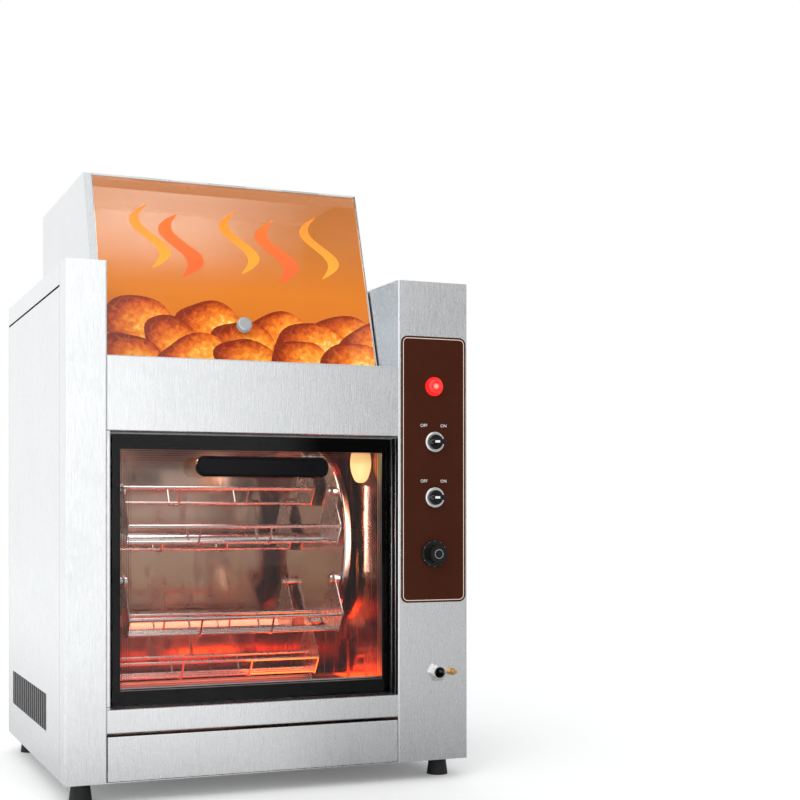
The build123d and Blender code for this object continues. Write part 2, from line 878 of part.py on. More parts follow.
# ------------------------------------------------------------------ glass lid
with BuildPart() as lid_glass:
    with BuildSketch(glass_plane()):
        span(lid_left, lid_right, lid_foot_run, lid_top_run)
        with Locations((lid_mid, lid_knob_height / math.cos(glass_tilt))):
            Circle(lid_knob_stem_radius / 2, mode=Mode.SUBTRACT)
    extrude(amount=-lid_glass_thickness)
save(lid_glass, "lid_glass")

with BuildPart() as lid_hinge:
    with BuildSketch(glass_plane(lid_glass_thickness)):
        span(lid_left, lid_right, lid_top_run - leaf_width, lid_top_run - seam)
        for k in moving_knuckles:
            span(*knuckle_span(k), lid_top_run - leaf_width, lid_hinge_run)
    extrude(amount=-leaf_sheet)
    for k in moving_knuckles:
        knuckle_start, knuckle_end = knuckle_span(k)
        with BuildSketch(side(knuckle_start)):
            with Locations((lid_hinge_y, lid_hinge_z)):
                Circle(barrel_radius)
        extrude(amount=knuckle_end - knuckle_start)
    with BuildSketch(side(lid_left)):
        with Locations((lid_hinge_y, lid_hinge_z)):
            Circle(barrel_pin_radius)
    extrude(amount=lid_right - lid_left)
save(lid_hinge, "lid_hinge")

with BuildPart() as lid_knob:
    knob_foot = Vector(lid_mid, 0, 0) + glass_plane().origin + glass_plane().y_dir * (
        lid_knob_height / math.cos(glass_tilt)
    )
    knob_axis = Plane(origin=knob_foot, x_dir=(1, 0, 0), z_dir=glass_plane().z_dir)
    with BuildSketch(knob_axis):
        Circle(lid_knob_stem_radius)
    extrude(amount=lid_knob_length / 2)
    with BuildSketch(knob_axis.offset(lid_knob_length / 2)):
        Circle(lid_knob_radius)
    extrude(amount=lid_knob_length / 2)
    fillet(lid_knob.faces().sort_by(Axis.Y)[0].edges(), radius=lid_knob_length / 8)
    with BuildSketch(knob_axis.offset(-lid_glass_thickness - lid_knob_nut)):
        Circle(lid_knob_stem_radius)
    extrude(amount=lid_knob_nut)
    with BuildSketch(knob_axis.offset(-lid_glass_thickness)):
        Circle(lid_knob_stem_radius / 2)
    extrude(amount=lid_glass_thickness)
save(lid_knob, "lid_knob")

# ----------------------------------------------------------------------- door
with BuildPart() as door_frame:
    with BuildSketch(upright(y_door_back)):
        span(door_left, door_right, frame_bottom, door_top)
        span(window_left, window_right, window_bottom, window_top, mode=Mode.SUBTRACT)
    extrude(amount=door_frame_depth)
    # The frame is a channel, open towards the glass.
    with BuildSketch(upright(y_door_back - sheet)):
        span(door_left + sheet, door_right - sheet, frame_bottom + sheet, door_top - sheet)
        span(
            window_left - sheet,
            window_right + sheet,
            window_bottom - sheet,
            window_top + sheet,
            mode=Mode.SUBTRACT,
        )
    extrude(amount=door_frame_depth, mode=Mode.SUBTRACT)
    for x in (door_left - door_side_gap - 3 * sheet, door_right - 2 * sheet):
        with BuildSketch(side(x)):
            with Locations((hinge_y, hinge_z)):
                Circle(hinge_pin_radius)
        extrude(amount=door_side_gap + 5 * sheet)
save(door_frame, "door_frame")

handle_posts = [
    door_mid - handle_length / 2 + handle_post_inset,
    door_mid + handle_length / 2 - handle_post_inset,
]
with BuildPart() as door_glass_pane:
    with BuildSketch(upright(y_door_frame)):
        span(door_left, door_right, door_bottom, door_top)
        with Locations(*[(x, handle_z) for x in handle_posts]):
            Circle(handle_stud_radius, mode=Mode.SUBTRACT)
    extrude(amount=door_glass)
    fillet(door_glass_pane.edges().filter_by(Axis.Y).group_by(SortBy.LENGTH)[-1], radius=fold_radius)
save(door_glass_pane, "door_glass")

with BuildPart() as door_handle:
    with BuildSketch(upright(y_glass - handle_standoff)):
        with Locations((door_mid, handle_z)):
            RectangleRounded(handle_length, handle_height, handle_height * 0.42)
    extrude(amount=handle_depth)
    fillet(door_handle.faces().sort_by(Axis.Y)[0].edges(), radius=handle_depth * 0.4)
    with BuildSketch(upright(y_glass)):
        with Locations(*[(x, handle_z) for x in handle_posts]):
            Circle(handle_post_radius)
    extrude(amount=handle_standoff)
    with BuildSketch(upright(y_door_frame)):
        with Locations(*[(x, handle_z) for x in handle_posts]):
            Circle(handle_stud_radius)
    extrude(amount=door_glass)
    with BuildSketch(upright(y_door_frame + handle_nut)):
        with Locations(*[(x, handle_z) for x in handle_posts]):
            Circle(handle_nut_radius)
    extrude(amount=handle_nut)
save(door_handle, "door_handle")

# ----------------------------------------------------------------- crumb tray
with BuildPart() as crumb_tray:
    with BuildSketch(level(tray_bottom)):
        span(tray_left, tray_right, y_front + sheet, y_tray_back)
    extrude(amount=tray_wall_top - tray_bottom)
    with BuildSketch(level(tray_bottom + liner)):
        span(
            tray_left + liner,
            tray_right - liner,
            y_front + sheet,
            y_tray_back - liner,
        )
    extrude(amount=tray_wall_top, mode=Mode.SUBTRACT)
    with BuildSketch(side(jamb_left + lid_gap)):
        folded_sheet(
            [
                (y_front, pan_top + lid_gap),
                (y_front, tray_front_top),
                (y_front + tray_lip, tray_front_top),
            ],
            Side.RIGHT,
        )
    extrude(amount=jamb_right - jamb_left - 2 * lid_gap)
save(crumb_tray, "crumb_tray")

with BuildPart() as tray_runners:
    runner_left = tray_left - seam - sheet
    with BuildSketch(upright(y_tray_back)):
        folded_sheet(
            [
                (runner_left, pan_top + runner_height),
                (runner_left, pan_top),
                (runner_left + runner_foot, pan_top),
            ],
            Side.LEFT,
        )
    extrude(amount=y_tray_back - y_front - tray_lip - sheet)
    mirror(about=Plane.YZ.offset((tray_left + tray_right) / 2))
save(tray_runners, "tray_runners")

# ---------------------------------------------------------------------- rotor
with BuildPart() as rotor_shaft:
    with BuildSketch(side(shaft_left)):
        with Locations((axis_y, axis_height)):
            Circle(shaft_radius)
    extrude(amount=shaft_right - shaft_left)
    chamfer(rotor_shaft.faces().sort_by(Axis.X)[0].edges(), length=liner)
save(rotor_shaft, "rotor_shaft")

pivots = [basket_pivot(angle) for angle in basket_angles]


def wheel(x_inner, outward):
    """Dished wheel whose flat side faces the baskets and rim points outward."""
    with BuildPart() as made:
        face_plane = Plane(origin=(x_inner, axis_y, axis_height), x_dir=(0, 1, 0), z_dir=(outward, 0, 0))
        with BuildSketch(face_plane):
            Circle(wheel_radius)
        extrude(amount=wheel_rim)
        rims = made.edges().filter_by(GeomType.CIRCLE).sort_by(Axis.X)
        fillet(rims[0 if outward > 0 else -1], radius=wheel_bend)
        with BuildSketch(face_plane.offset(wheel_sheet)):
            Circle(wheel_radius - wheel_sheet)
        extrude(amount=wheel_rim, mode=Mode.SUBTRACT)
        with BuildSketch(face_plane):
            Circle(hub_radius)
        extrude(amount=hub_length)
        with BuildSketch(side(min(x_inner, x_inner + outward * hub_length) - liner)):
            with Locations((axis_y, axis_height)):
                Circle(shaft_radius)
            with Locations(*pivots):
                Circle(pivot_pin_radius)
        extrude(amount=hub_length + 2 * liner, mode=Mode.SUBTRACT)
    return made


left_wheel = wheel(wheel_left, -1)
save(left_wheel, "left_wheel")
right_wheel = wheel(wheel_right, 1)
save(right_wheel, "right_wheel")

# A pin, from the nut outside the wheel to the nut inside the basket's end plate.
pin_steps = [
    (-wheel_sheet - pin_head, pin_collar_radius),
    (-wheel_sheet, pivot_pin_radius),
    (0.0, pin_collar_radius),
    (basket_side_room - end_float, pivot_pin_radius),
    (basket_side_room + plate_sheet + end_float, pin_nut_radius),
    (basket_side_room + plate_sheet + end_float + pin_nut, 0.0),
]

with BuildPart() as basket_pins:
    for (start, radius), (end, _) in zip(pin_steps, pin_steps[1:]):
        with BuildSketch(side(wheel_left + start)):
            with Locations(*pivots):
                Circle(radius)
        extrude(amount=end - start)
    mirror(about=Plane.YZ.offset(chamber_mid))
save(basket_pins, "basket_pins")

with BuildPart() as drive_coupling:
    with BuildSketch(side(coupling_left)):
        with Locations((axis_y, axis_height)):
            Circle(coupling_radius)
    extrude(amount=coupling_length)
    chamfer(drive_coupling.edges().filter_by(GeomType.CIRCLE), length=liner)
    with BuildSketch(side(coupling_left)):
        with Locations((axis_y, axis_height)):
            Circle(shaft_radius)
    extrude(amount=coupling_grip, mode=Mode.SUBTRACT)
    with BuildSketch(side(coupling_left + coupling_length)):
        with Locations((axis_y, axis_height)):
            Circle(drive_shaft_radius)
    extrude(amount=drive_shaft_length)
save(drive_coupling, "drive_coupling")

# -------------------------------------------------------------------- baskets
def wire_basket(pivot_y, pivot_z):
    """Welded basket hanging level below its pivot."""
    with BuildPart() as basket:
        # Two end plates: an eye for the pin, wide at the rails, narrow below.
        for x in (basket_left, basket_right - plate_sheet):
            with BuildSketch(side(x)):
                with Locations((pivot_y, pivot_z)):
                    Circle(plate_eye_radius)
                corners = [
                    (pivot_y + across * half, pivot_z - drop)
                    for across in (-1, 1)
                    for half, drop in ((rail_half, rail_drop), (floor_half, floor_drop))
                ]
                with Locations(*corners):
                    Circle(plate_corner_radius)
                make_hull()
                with Locations((pivot_y, pivot_z)):
                    Circle(pivot_pin_radius + running_gap, mode=Mode.SUBTRACT)
            extrude(amount=plate_sheet)
        # Long wires: two rails and three rods under them.
        with BuildSketch(side(basket_left)):
            with Locations(*[(pivot_y + across * rail_half, pivot_z - rail_drop) for across in (-1, 1)]):
                Circle(rail_radius)
            with Locations(*[(pivot_y + across * floor_half, pivot_z - floor_drop) for across in (-1, 0, 1)]):
                Circle(rod_radius)
        extrude(amount=basket_length)
        # Two hoops, each bent from one wire and welded outside the long wires.
        for third in (1, 2):
            x = basket_left + third * basket_length / 3
            with BuildLine() as hoop_path:
                FilletPolyline(
                    (x, pivot_y - rail_half, pivot_z - rail_drop),
                    (x, pivot_y - hoop_half, pivot_z - hoop_drop),
                    (x, pivot_y + hoop_half, pivot_z - hoop_drop),
                    (x, pivot_y + rail_half, pivot_z - rail_drop),
                    radius=hoop_bend,
                )
            with BuildSketch(Plane(origin=hoop_path.line @ 0, z_dir=hoop_path.line % 0)) as hoop_wire:
                Circle(hoop_radius)
            sweep(sections=hoop_wire.sketch, path=hoop_path.line)
    return basket


for number, (pivot_y, pivot_z) in enumerate(pivots, start=1):
    save(wire_basket(pivot_y, pivot_z), f"basket_{number}")

# ------------------------------------------------------- bearings and gear motor
with BuildPart() as shaft_bearings:
    # Left bearing behind the chamber wall, right bearing inside the column.
    for flange_x, boss_x, boss_length in (
        (chamber_left - liner - bearing_flange, shaft_left, chamber_left - shaft_left),
        (
            jamb_right + sheet,
            chamber_right,
            jamb_right + sheet + bearing_flange - chamber_right,
        ),
    ):
        with BuildSketch(side(flange_x)):
            with Locations((axis_y, axis_height)):
                Circle(bearing_flange_radius)
        extrude(amount=bearing_flange)
        with BuildSketch(side(boss_x)):
            with Locations((axis_y, axis_height)):
                Circle(bearing_boss_radius)
        extrude(amount=boss_length)
    with BuildSketch(side(shaft_left - liner)):
        with Locations((axis_y, axis_height)):
            Circle(shaft_radius + running_gap)
    extrude(amount=motor_front - shaft_left, mode=Mode.SUBTRACT)
save(shaft_bearings, "shaft_bearings")

with BuildPart() as gear_motor:
    with BuildSketch(side(motor_front)):
        with Locations((axis_y, axis_height)):
            RectangleRounded(motor_plate_size, motor_plate_size, fold_radius * 2)
    extrude(amount=motor_plate)
    with BuildSketch(side(motor_front + motor_plate)):
        with Locations((axis_y, axis_height)):
            Circle(motor_radius)
    extrude(amount=motor_length)
    fillet(gear_motor.faces().sort_by(Axis.X)[-1].edges(), radius=fold_radius)
    with BuildSketch(side(jamb_right + sheet)):
        with Locations((axis_y, axis_height)):
            with PolarLocations(standoff_ring, 4, start_angle=45):
                Circle(standoff_radius)
    extrude(amount=motor_front - jamb_right - sheet)
    with BuildSketch(side(motor_front)):
        with Locations((axis_y, axis_height)):
            Circle(drive_shaft_radius + running_gap)
    extrude(amount=drive_shaft_length + liner, mode=Mode.SUBTRACT)
save(gear_motor, "gear_motor")

# ------------------------------------------------- heating tubes and oven lamp
cap_left = chamber_left - liner - cap_length
cap_right = chamber_right + liner + cap_length

with BuildPart() as heating_tubes:
    with BuildSketch(side(cap_left + tube_seat)):
        with Locations(*tube_places):
            Circle(tube_radius)
    extrude(amount=cap_right - cap_left - 2 * tube_seat)
save(heating_tubes, "heating_tubes")

with BuildPart() as tube_caps:
    with BuildSketch(side(cap_left)):
        with Locations(*tube_places):
            Circle(cap_radius)
    extrude(amount=cap_length)
    with BuildSketch(side(cap_left + cap_length)):
        with Locations(*tube_places):
            Circle(cap_neck_radius)
    extrude(amount=cap_neck)
    mirror(about=Plane.YZ.offset(chamber_mid))
    with BuildSketch(side(cap_left + tube_seat)):
        with Locations(*tube_places):
            Circle(tube_radius)
    extrude(amount=cap_right - cap_left - 2 * tube_seat, mode=Mode.SUBTRACT)
save(tube_caps, "tube_caps")

with BuildPart() as lamp_holder:
    with BuildSketch(level(chamber_ceiling_height - holder_depth)):
        with Locations((lamp_x, lamp_y)):
            Circle(holder_radius - liner)
    extrude(amount=holder_depth + liner)
    with BuildSketch(level(chamber_ceiling_height - sheet)):
        with Locations((lamp_x, lamp_y)):
            Circle(holder_radius)
    extrude(amount=sheet)
    with BuildSketch(level(chamber_ceiling_height - holder_depth)):
        with Locations((lamp_x, lamp_y)):
            Circle(bulb_neck_radius)
    extrude(amount=holder_depth / 2, mode=Mode.SUBTRACT)
save(lamp_holder, "lamp_holder")

with BuildPart() as lamp_bulb:
    with BuildSketch(Plane(origin=(lamp_x, lamp_y, 0), x_dir=(1, 0, 0), z_dir=(0, -1, 0))):
        with BuildLine():
            Line((0, lamp_tip_height), (0, chamber_ceiling_height - holder_depth / 2))
            Line(
                (0, chamber_ceiling_height - holder_depth / 2),
                (bulb_neck_radius, chamber_ceiling_height - holder_depth / 2),
            )
            Line(
                (bulb_neck_radius, chamber_ceiling_height - holder_depth / 2),
                (bulb_neck_radius, bulb_top),
            )
            Spline(
                (bulb_neck_radius, bulb_top),
                (bulb_radius, lamp_tip_height + bulb_length * 0.5),
                (bulb_radius * 0.7, lamp_tip_height + bulb_length * 0.12),
                (0, lamp_tip_height),
                tangents=[(0.4, -1), (-1, 0)],
            )
        make_face()
    revolve(axis=Axis((lamp_x, lamp_y, 0), (0, 0, 1)))
save(lamp_bulb, "lamp_bulb")

# ------------------------------------------------------------------- controls
with BuildPart() as control_fascia:
    with BuildSketch(upright(y_front)):
        with Locations((control_x, fascia_top - fascia_height / 2)):
            RectangleRounded(fascia_right - fascia_left, fascia_height, fascia_corner)
        with Locations((control_x, indicator_height), *[(control_x, z) for z in selector_heights]):
            Circle(switch_neck_radius, mode=Mode.SUBTRACT)
        with Locations((control_x, thermostat_height)):
            Circle(dial_bush_radius, mode=Mode.SUBTRACT)
    extrude(amount=fascia_sheet)
save(control_fascia, "control_fascia")

with BuildPart() as indicator_lamp:
    with BuildSketch(upright(y_front + sheet + contact_block_depth)):
        with Locations((control_x, indicator_height)):
            Circle(switch_neck_radius)
    extrude(amount=contact_block_depth + sheet + fascia_sheet)
    with BuildSketch(upright(y_fascia)):
        with Locations((control_x, indicator_height)):
            Circle(indicator_bezel_radius)
    extrude(amount=indicator_bezel)
    with BuildSketch(upright(y_fascia - indicator_bezel)):
        with Locations((control_x, indicator_height)):
            Circle(indicator_lens_radius)
    extrude(amount=2 * indicator_bezel)
    fillet(indicator_lamp.faces().sort_by(Axis.Y)[0].edges(), radius=1.6 * indicator_bezel)
save(indicator_lamp, "indicator_lamp")

with BuildPart() as selector_switches:
    places = [(control_x, z) for z in selector_heights]
    with BuildSketch(upright(y_front + sheet + contact_block_depth)):
        with Locations(*places):
            Rectangle(contact_block, contact_block)
    extrude(amount=contact_block_depth)
    with BuildSketch(upright(y_front + sheet)):
        with Locations(*places):
            Circle(switch_neck_radius)
    extrude(amount=sheet + fascia_sheet)
    with BuildSketch(upright(y_fascia)):
        with Locations(*places):
            Circle(bezel_radius)
    extrude(amount=bezel_height)
    fillet(selector_switches.faces().group_by(Axis.Y)[0].edges(), radius=bezel_height / 3)
    with BuildSketch(upright(y_fascia)):
        with Locations(*places):
            Circle(selector_disc_radius + slide_gap)
    extrude(amount=bezel_height, mode=Mode.SUBTRACT)
    with BuildSketch(upright(y_front + sheet + contact_block_depth / 2)):
        with Locations(*places):
            Circle(selector_stem_radius + running_gap)
    extrude(amount=contact_block_depth, mode=Mode.SUBTRACT)
save(selector_switches, "selector_switches")


def selector_knob(z):
    """Round knob with a bar grip, pointing left."""
    with BuildPart() as knob:
        with BuildSketch(upright(y_fascia - slide_gap)):
            with Locations((control_x, z)):
                Circle(selector_disc_radius)
        extrude(amount=selector_disc)
        with BuildSketch(upright(y_fascia - slide_gap)):
            with Locations((control_x, z)):
                SlotOverall(2 * (selector_disc_radius - slide_gap), selector_grip_width)
        extrude(amount=selector_height - slide_gap)
        fillet(knob.faces().sort_by(Axis.Y)[0].edges(), radius=selector_edge)
        with BuildSketch(upright(y_front + sheet + contact_block_depth / 2 - slide_gap)):
            with Locations((control_x, z)):
                Circle(selector_stem_radius)
        extrude(amount=contact_block_depth / 2 + sheet + fascia_sheet)
    return knob


for name, z in zip(("light_switch_knob", "motor_switch_knob"), selector_heights):
    save(selector_knob(z), name)

bush_reach = dial_skirt / 2

with BuildPart() as thermostat:
    with BuildSketch(upright(y_front + sheet + thermostat_depth)):
        with Locations((control_x, thermostat_height)):
            Rectangle(thermostat_width, thermostat_body_height)
    extrude(amount=thermostat_depth)
    with BuildSketch(upright(y_front + sheet)):
        with Locations((control_x, thermostat_height)):
            Circle(dial_bush_radius)
    extrude(amount=sheet + fascia_sheet)
    with BuildSketch(upright(y_front + sheet + thermostat_depth / 2)):
        with Locations((control_x, thermostat_height)):
            Circle(dial_stem_radius + running_gap)
    extrude(amount=thermostat_depth, mode=Mode.SUBTRACT)
    # Sensor bulb, pushed through the column and chamber walls.
    with BuildSketch(side(chamber_right - sensor_length)):
        with Locations(sensor_place):
            Circle(sensor_radius)
    extrude(amount=sensor_length + chamber_right_room + 3 * sheet)
save(thermostat, "thermostat")

with BuildPart() as thermostat_knob:
    with BuildSketch(upright(y_fascia - slide_gap)):
        with Locations((control_x, thermostat_height)):
            Circle(dial_radius)
    extrude(amount=dial_skirt)
    fillet(thermostat_knob.faces().sort_by(Axis.Y)[0].edges(), radius=dial_skirt / 3)
    with BuildSketch(upright(y_fascia - slide_gap)):
        with Locations((control_x, thermostat_height)):
            Circle(dial_grip_radius)
            with PolarLocations(dial_grip_radius + bush_reach / 2, dial_flutes):
                Circle(bush_reach, mode=Mode.SUBTRACT)
    extrude(amount=dial_height - slide_gap)
    with BuildSketch(upright(y_front + sheet + thermostat_depth / 2 - slide_gap)):
        with Locations((control_x, thermostat_height)):
            Circle(dial_stem_radius)
    extrude(amount=thermostat_depth / 2 + sheet + fascia_sheet)
save(thermostat_knob, "thermostat_knob")

# -------------------------------------------------------- supply and earthing
with BuildPart() as cable_gland:
    with BuildSketch(upright(y_front)):
        with Locations((gland_x, gland_height)):
            RegularPolygon(gland_flats / 2, 6, major_radius=False)
    extrude(amount=gland_head)
    chamfer(cable_gland.faces().sort_by(Axis.Y)[0].edges(), length=liner)
    with BuildSketch(upright(y_front - gland_head)):
        with Locations((gland_x, gland_height)):
            Circle(gland_collar_radius)
    extrude(amount=gland_collar)
    chamfer(cable_gland.faces().sort_by(Axis.Y)[0].edges(), length=liner)
    with BuildSketch(upright(y_front + gland_inside)):
        with Locations((gland_x, gland_height)):
            Circle(gland_neck_radius)
    extrude(amount=gland_inside)
    with BuildSketch(upright(y_front + sheet + gland_nut)):
        with Locations((gland_x, gland_height)):
            RegularPolygon(gland_nut_flats / 2, 6, major_radius=False)
    extrude(amount=gland_nut)
    with BuildSketch(upright(y_front + gland_inside)):
        with Locations((gland_x, gland_height)):
            Circle(gland_bore_radius)
    extrude(amount=gland_inside + gland_head + gland_collar, mode=Mode.SUBTRACT)
save(cable_gland, "cable_gland")

with BuildPart() as ground_stud:
    with BuildSketch(upright(y_front)):
        with Locations((stud_x, gland_height)):
            RegularPolygon(stud_nut_flats / 2, 6, major_radius=False)
    extrude(amount=stud_nut)
    with BuildSketch(upright(y_front + stud_inside)):
        with Locations((stud_x, gland_height)):
            Circle(stud_radius)
    extrude(amount=stud_inside + stud_reach)
save(ground_stud, "ground_stud")

with BuildPart() as terminal_block:
    with BuildSketch(level(pan_top)):
        with Locations((control_x, y_front + terminal_from_front)):
            Rectangle(terminal_width, terminal_depth)
    extrude(amount=terminal_height)
    with BuildSketch(level(pan_top + terminal_height / 2)):
        with Locations((control_x, y_front + terminal_from_front)):
            with GridLocations(0, terminal_depth / 4, 1, 3):
                Rectangle(terminal_width, sheet)
    extrude(amount=terminal_height, mode=Mode.SUBTRACT)
save(terminal_block, "terminal_block")
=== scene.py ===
"""Finishes, printed glass, glowing heaters and studio for a countertop potato oven.

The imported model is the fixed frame. Each sub-assembly is a class that dresses
its solids and adds the thin pieces that a solid model leaves out: the black
border and dot rows of the door glass, the coils of the heaters, the printed
film of the display and the marks of the control panel.

Metres. X runs to the right, Y to the back and Z up.
"""

from __future__ import annotations

import json
import logging
import math
import random
from collections.abc import Iterable, Sequence
from dataclasses import dataclass
from enum import Enum

import bmesh
import bpy
from mathutils import Matrix, Vector

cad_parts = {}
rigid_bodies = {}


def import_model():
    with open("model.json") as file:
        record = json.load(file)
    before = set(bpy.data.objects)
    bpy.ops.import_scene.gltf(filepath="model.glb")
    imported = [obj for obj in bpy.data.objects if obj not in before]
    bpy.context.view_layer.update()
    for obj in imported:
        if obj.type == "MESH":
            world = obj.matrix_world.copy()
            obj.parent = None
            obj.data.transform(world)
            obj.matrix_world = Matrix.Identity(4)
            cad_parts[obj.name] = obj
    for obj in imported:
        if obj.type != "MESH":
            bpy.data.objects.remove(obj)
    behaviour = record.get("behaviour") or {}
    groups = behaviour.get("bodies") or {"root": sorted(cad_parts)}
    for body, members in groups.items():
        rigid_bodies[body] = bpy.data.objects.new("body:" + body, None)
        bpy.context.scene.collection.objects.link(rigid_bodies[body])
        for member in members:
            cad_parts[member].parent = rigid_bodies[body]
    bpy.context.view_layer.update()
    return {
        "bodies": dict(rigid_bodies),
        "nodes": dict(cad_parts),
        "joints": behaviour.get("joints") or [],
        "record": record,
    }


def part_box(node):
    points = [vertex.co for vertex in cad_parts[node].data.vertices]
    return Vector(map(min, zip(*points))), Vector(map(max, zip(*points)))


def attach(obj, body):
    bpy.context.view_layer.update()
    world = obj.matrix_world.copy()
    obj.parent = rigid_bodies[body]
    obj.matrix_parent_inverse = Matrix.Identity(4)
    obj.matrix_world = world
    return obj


LOG = logging.getLogger("potato_oven")
Colour = tuple[float, float, float, float]
Feed = bpy.types.NodeSocket | float | tuple
PAINTED_REFLECTION: Colour = (0.47, 0.51, 0.54, 1.0)  # painted reflection: prints show this pale colour in glossy rays, as the column's polished side shows them
BAKED_ON: Colour = (0.09, 0.035, 0.015, 1.0)
DUST: Colour = (0.45, 0.43, 0.4, 1.0)
PAPER: Colour = (1.0, 0.9, 0.8, 1.0)
SCREEN_SCALE = 1500.0  # dots of the printing screen
PRINT_SMEARS = 10.0
SHEET: Colour = (0.86, 0.87, 0.88, 1.0)
SHEET_ROUGH = 0.27
PRINT_THICK = 0.0001
PROUD = Vector((0.0, -PRINT_THICK / 2, 0.0))  # from a face to the middle of a print on it
FRONT = Matrix.Rotation(math.pi / 2, 4, "X")  # turns a flat XY drawing to face the front


class Body(str, Enum):
    """Bodies that the added pieces ride on."""

    CABINET = "cabinet"
    DOOR = "door"
    LID = "lid"
    LIGHT_KNOB = "light_knob"
    MOTOR_KNOB = "motor_knob"
    HEAT_KNOB = "heat_knob"


class Grain(Enum):
    """Direction in which a sheet was brushed, as noise scales along X, Y and Z."""

    UPRIGHT = (300.0, 300.0, 20.0)
    LEVEL = (20.0, 300.0, 300.0)


def front_middle(node: str) -> Vector:
    """Returns the middle of a solid's front face."""
    low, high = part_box(node)
    return Vector(((low.x + high.x) / 2, low.y, (low.z + high.z) / 2))


def rgb(red: float, green: float, blue: float) -> Colour:
    """Returns an opaque linear colour."""
    return (red, green, blue, 1.0)


# --------------------------------------------------------------------- shading
class Graph:
    """Wires the nodes of one material, world or node group."""

    def __init__(self, tree: bpy.types.NodeTree) -> None:
        """Keeps the tree that the nodes go into."""
        self.tree = tree

    def add(self, kind: str, **settings: object) -> bpy.types.Node:
        """Adds a node and sets its properties.

        Args:
            kind: the node's type name.
            settings: properties of the node by name.

        Returns:
            The new node.
        """
        node = self.tree.nodes.new(kind)
        for name, value in settings.items():
            setattr(node, name, value)
        return node

    def feed(self, socket: bpy.types.NodeSocket, value: Feed) -> None:
        """Links a socket to the input, or sets a constant on it."""
        if isinstance(value, bpy.types.NodeSocket):
            self.tree.links.new(value, socket)
        else:
            socket.default_value = value

    def place(self) -> bpy.types.NodeSocket:
        """Returns the object coordinates."""
        return self.add("ShaderNodeTexCoord").outputs["Object"]

    def calc(self, operation: str, *terms: Feed, clamp: bool = False) -> bpy.types.NodeSocket:
        """Returns one arithmetic step on numbers.

        Args:
            operation: the Math node's operation.
            terms: its inputs in order.
            clamp: keeps the result between 0 and 1.

        Returns:
            The result's socket.
        """
        node = self.add("ShaderNodeMath", operation=operation, use_clamp=clamp)
        for socket, term in zip(node.inputs, terms):
            self.feed(socket, term)
        return node.outputs[0]

    def scaled(self, value: Feed, factor: float, base: Feed = 0.0) -> bpy.types.NodeSocket:
        """Returns a value times a factor, plus a base."""
        return self.calc("MULTIPLY_ADD", value, factor, base)

    def vector(self, operation: str, *terms: Feed) -> bpy.types.NodeSocket:
        """Returns one arithmetic step on vectors."""
        node = self.add("ShaderNodeVectorMath", operation=operation)
        for socket, term in zip(node.inputs, terms):
            self.feed(socket, term)
        return node.outputs[1] if operation in ("DOT_PRODUCT", "LENGTH") else node.outputs[0]

    def axes(self, vector: Feed) -> tuple[bpy.types.NodeSocket, ...]:
        """Returns the three components of a vector."""
        node = self.add("ShaderNodeSeparateXYZ")
        self.feed(node.inputs[0], vector)
        return tuple(node.outputs)

    def span(
        self, value: Feed, low: Feed, high: Feed, start: float = 0.0, end: float = 1.0
    ) -> bpy.types.NodeSocket:
        """Returns a value moved from one range to another, clamped."""
        node = self.add("ShaderNodeMapRange", clamp=True)
        names = ("Value", "From Min", "From Max", "To Min", "To Max")
        for name, term in zip(names, (value, low, high, start, end)):
            self.feed(node.inputs[name], term)
        return node.outputs[0]

    def mix(self, share: Feed, first: Feed, second: Feed, blend: str = "MIX") -> bpy.types.NodeSocket:
        """Returns a blend of two colours.

        Args:
            share: how much of the second colour shows.
            first: colour at a share of 0.
            second: colour at a share of 1.
            blend: the Mix node's blend type.

        Returns:
            The colour's socket.
        """
        node = self.add("ShaderNodeMix", data_type="RGBA", blend_type=blend)
        self.feed(node.inputs["Factor"], share)
        self.feed(node.inputs[6], first)
        self.feed(node.inputs[7], second)
        return node.outputs[2]

    def ramp(self, value: Feed, stops: Sequence[tuple[float, Colour]]) -> bpy.types.NodeSocket:
        """Returns the colour of a ramp at a value.

        Args:
            value: place on the ramp, from 0 to 1.
            stops: places and their colours, lowest first.

        Returns:
            The colour's socket.
        """
        node = self.add("ShaderNodeValToRGB")
        band = node.color_ramp.elements
        while len(band) < len(stops):
            band.new(1.0)
        for element, (where, colour) in zip(band, stops):
            element.position = where
            element.color = colour
        self.feed(node.inputs[0], value)
        return node.outputs[0]

    def noise(self, vector: Feed, scale: Feed, detail: float = 2.0, twist: float = 0.0) -> bpy.types.NodeSocket:
        """Returns smooth noise around 0.5."""
        node = self.add("ShaderNodeTexNoise")
        for name, term in (("Vector", vector), ("Scale", scale), ("Detail", detail), ("Distortion", twist)):
            self.feed(node.inputs[name], term)
        return node.outputs[0]

    def cells(self, vector: Feed, scale: float, **settings: str) -> bpy.types.NodeSocket:
        """Returns the distances within a pattern of cells."""
        node = self.add("ShaderNodeTexVoronoi", **settings)
        self.feed(node.inputs["Vector"], vector)
        self.feed(node.inputs["Scale"], scale)
        return node.outputs["Distance"]

    def bump(self, height: Feed, strength: float, depth: float) -> bpy.types.NodeSocket:
        """Returns a normal that follows a height map."""
        node = self.add("ShaderNodeBump")
        for name, term in (("Strength", strength), ("Distance", depth), ("Height", height)):
            self.feed(node.inputs[name], term)
        return node.outputs[0]

    def with_painted_reflection(self, ink: Feed) -> bpy.types.NodeSocket:
        """Returns an ink that glossy rays see as a pale colour: a painted reflection of the print in polished metal
        beside it.
        """
        return self.mix(self.add("ShaderNodeLightPath").outputs["Is Glossy Ray"], ink, PAINTED_REFLECTION)

    def effect(self, group: bpy.types.NodeTree, **terms: Feed) -> bpy.types.Node:
        """Places a shared effect and feeds its inputs by name."""
        node = self.add("ShaderNodeGroup", node_tree=group)
        for name, term in terms.items():
            self.feed(node.inputs[name], term)
        return node


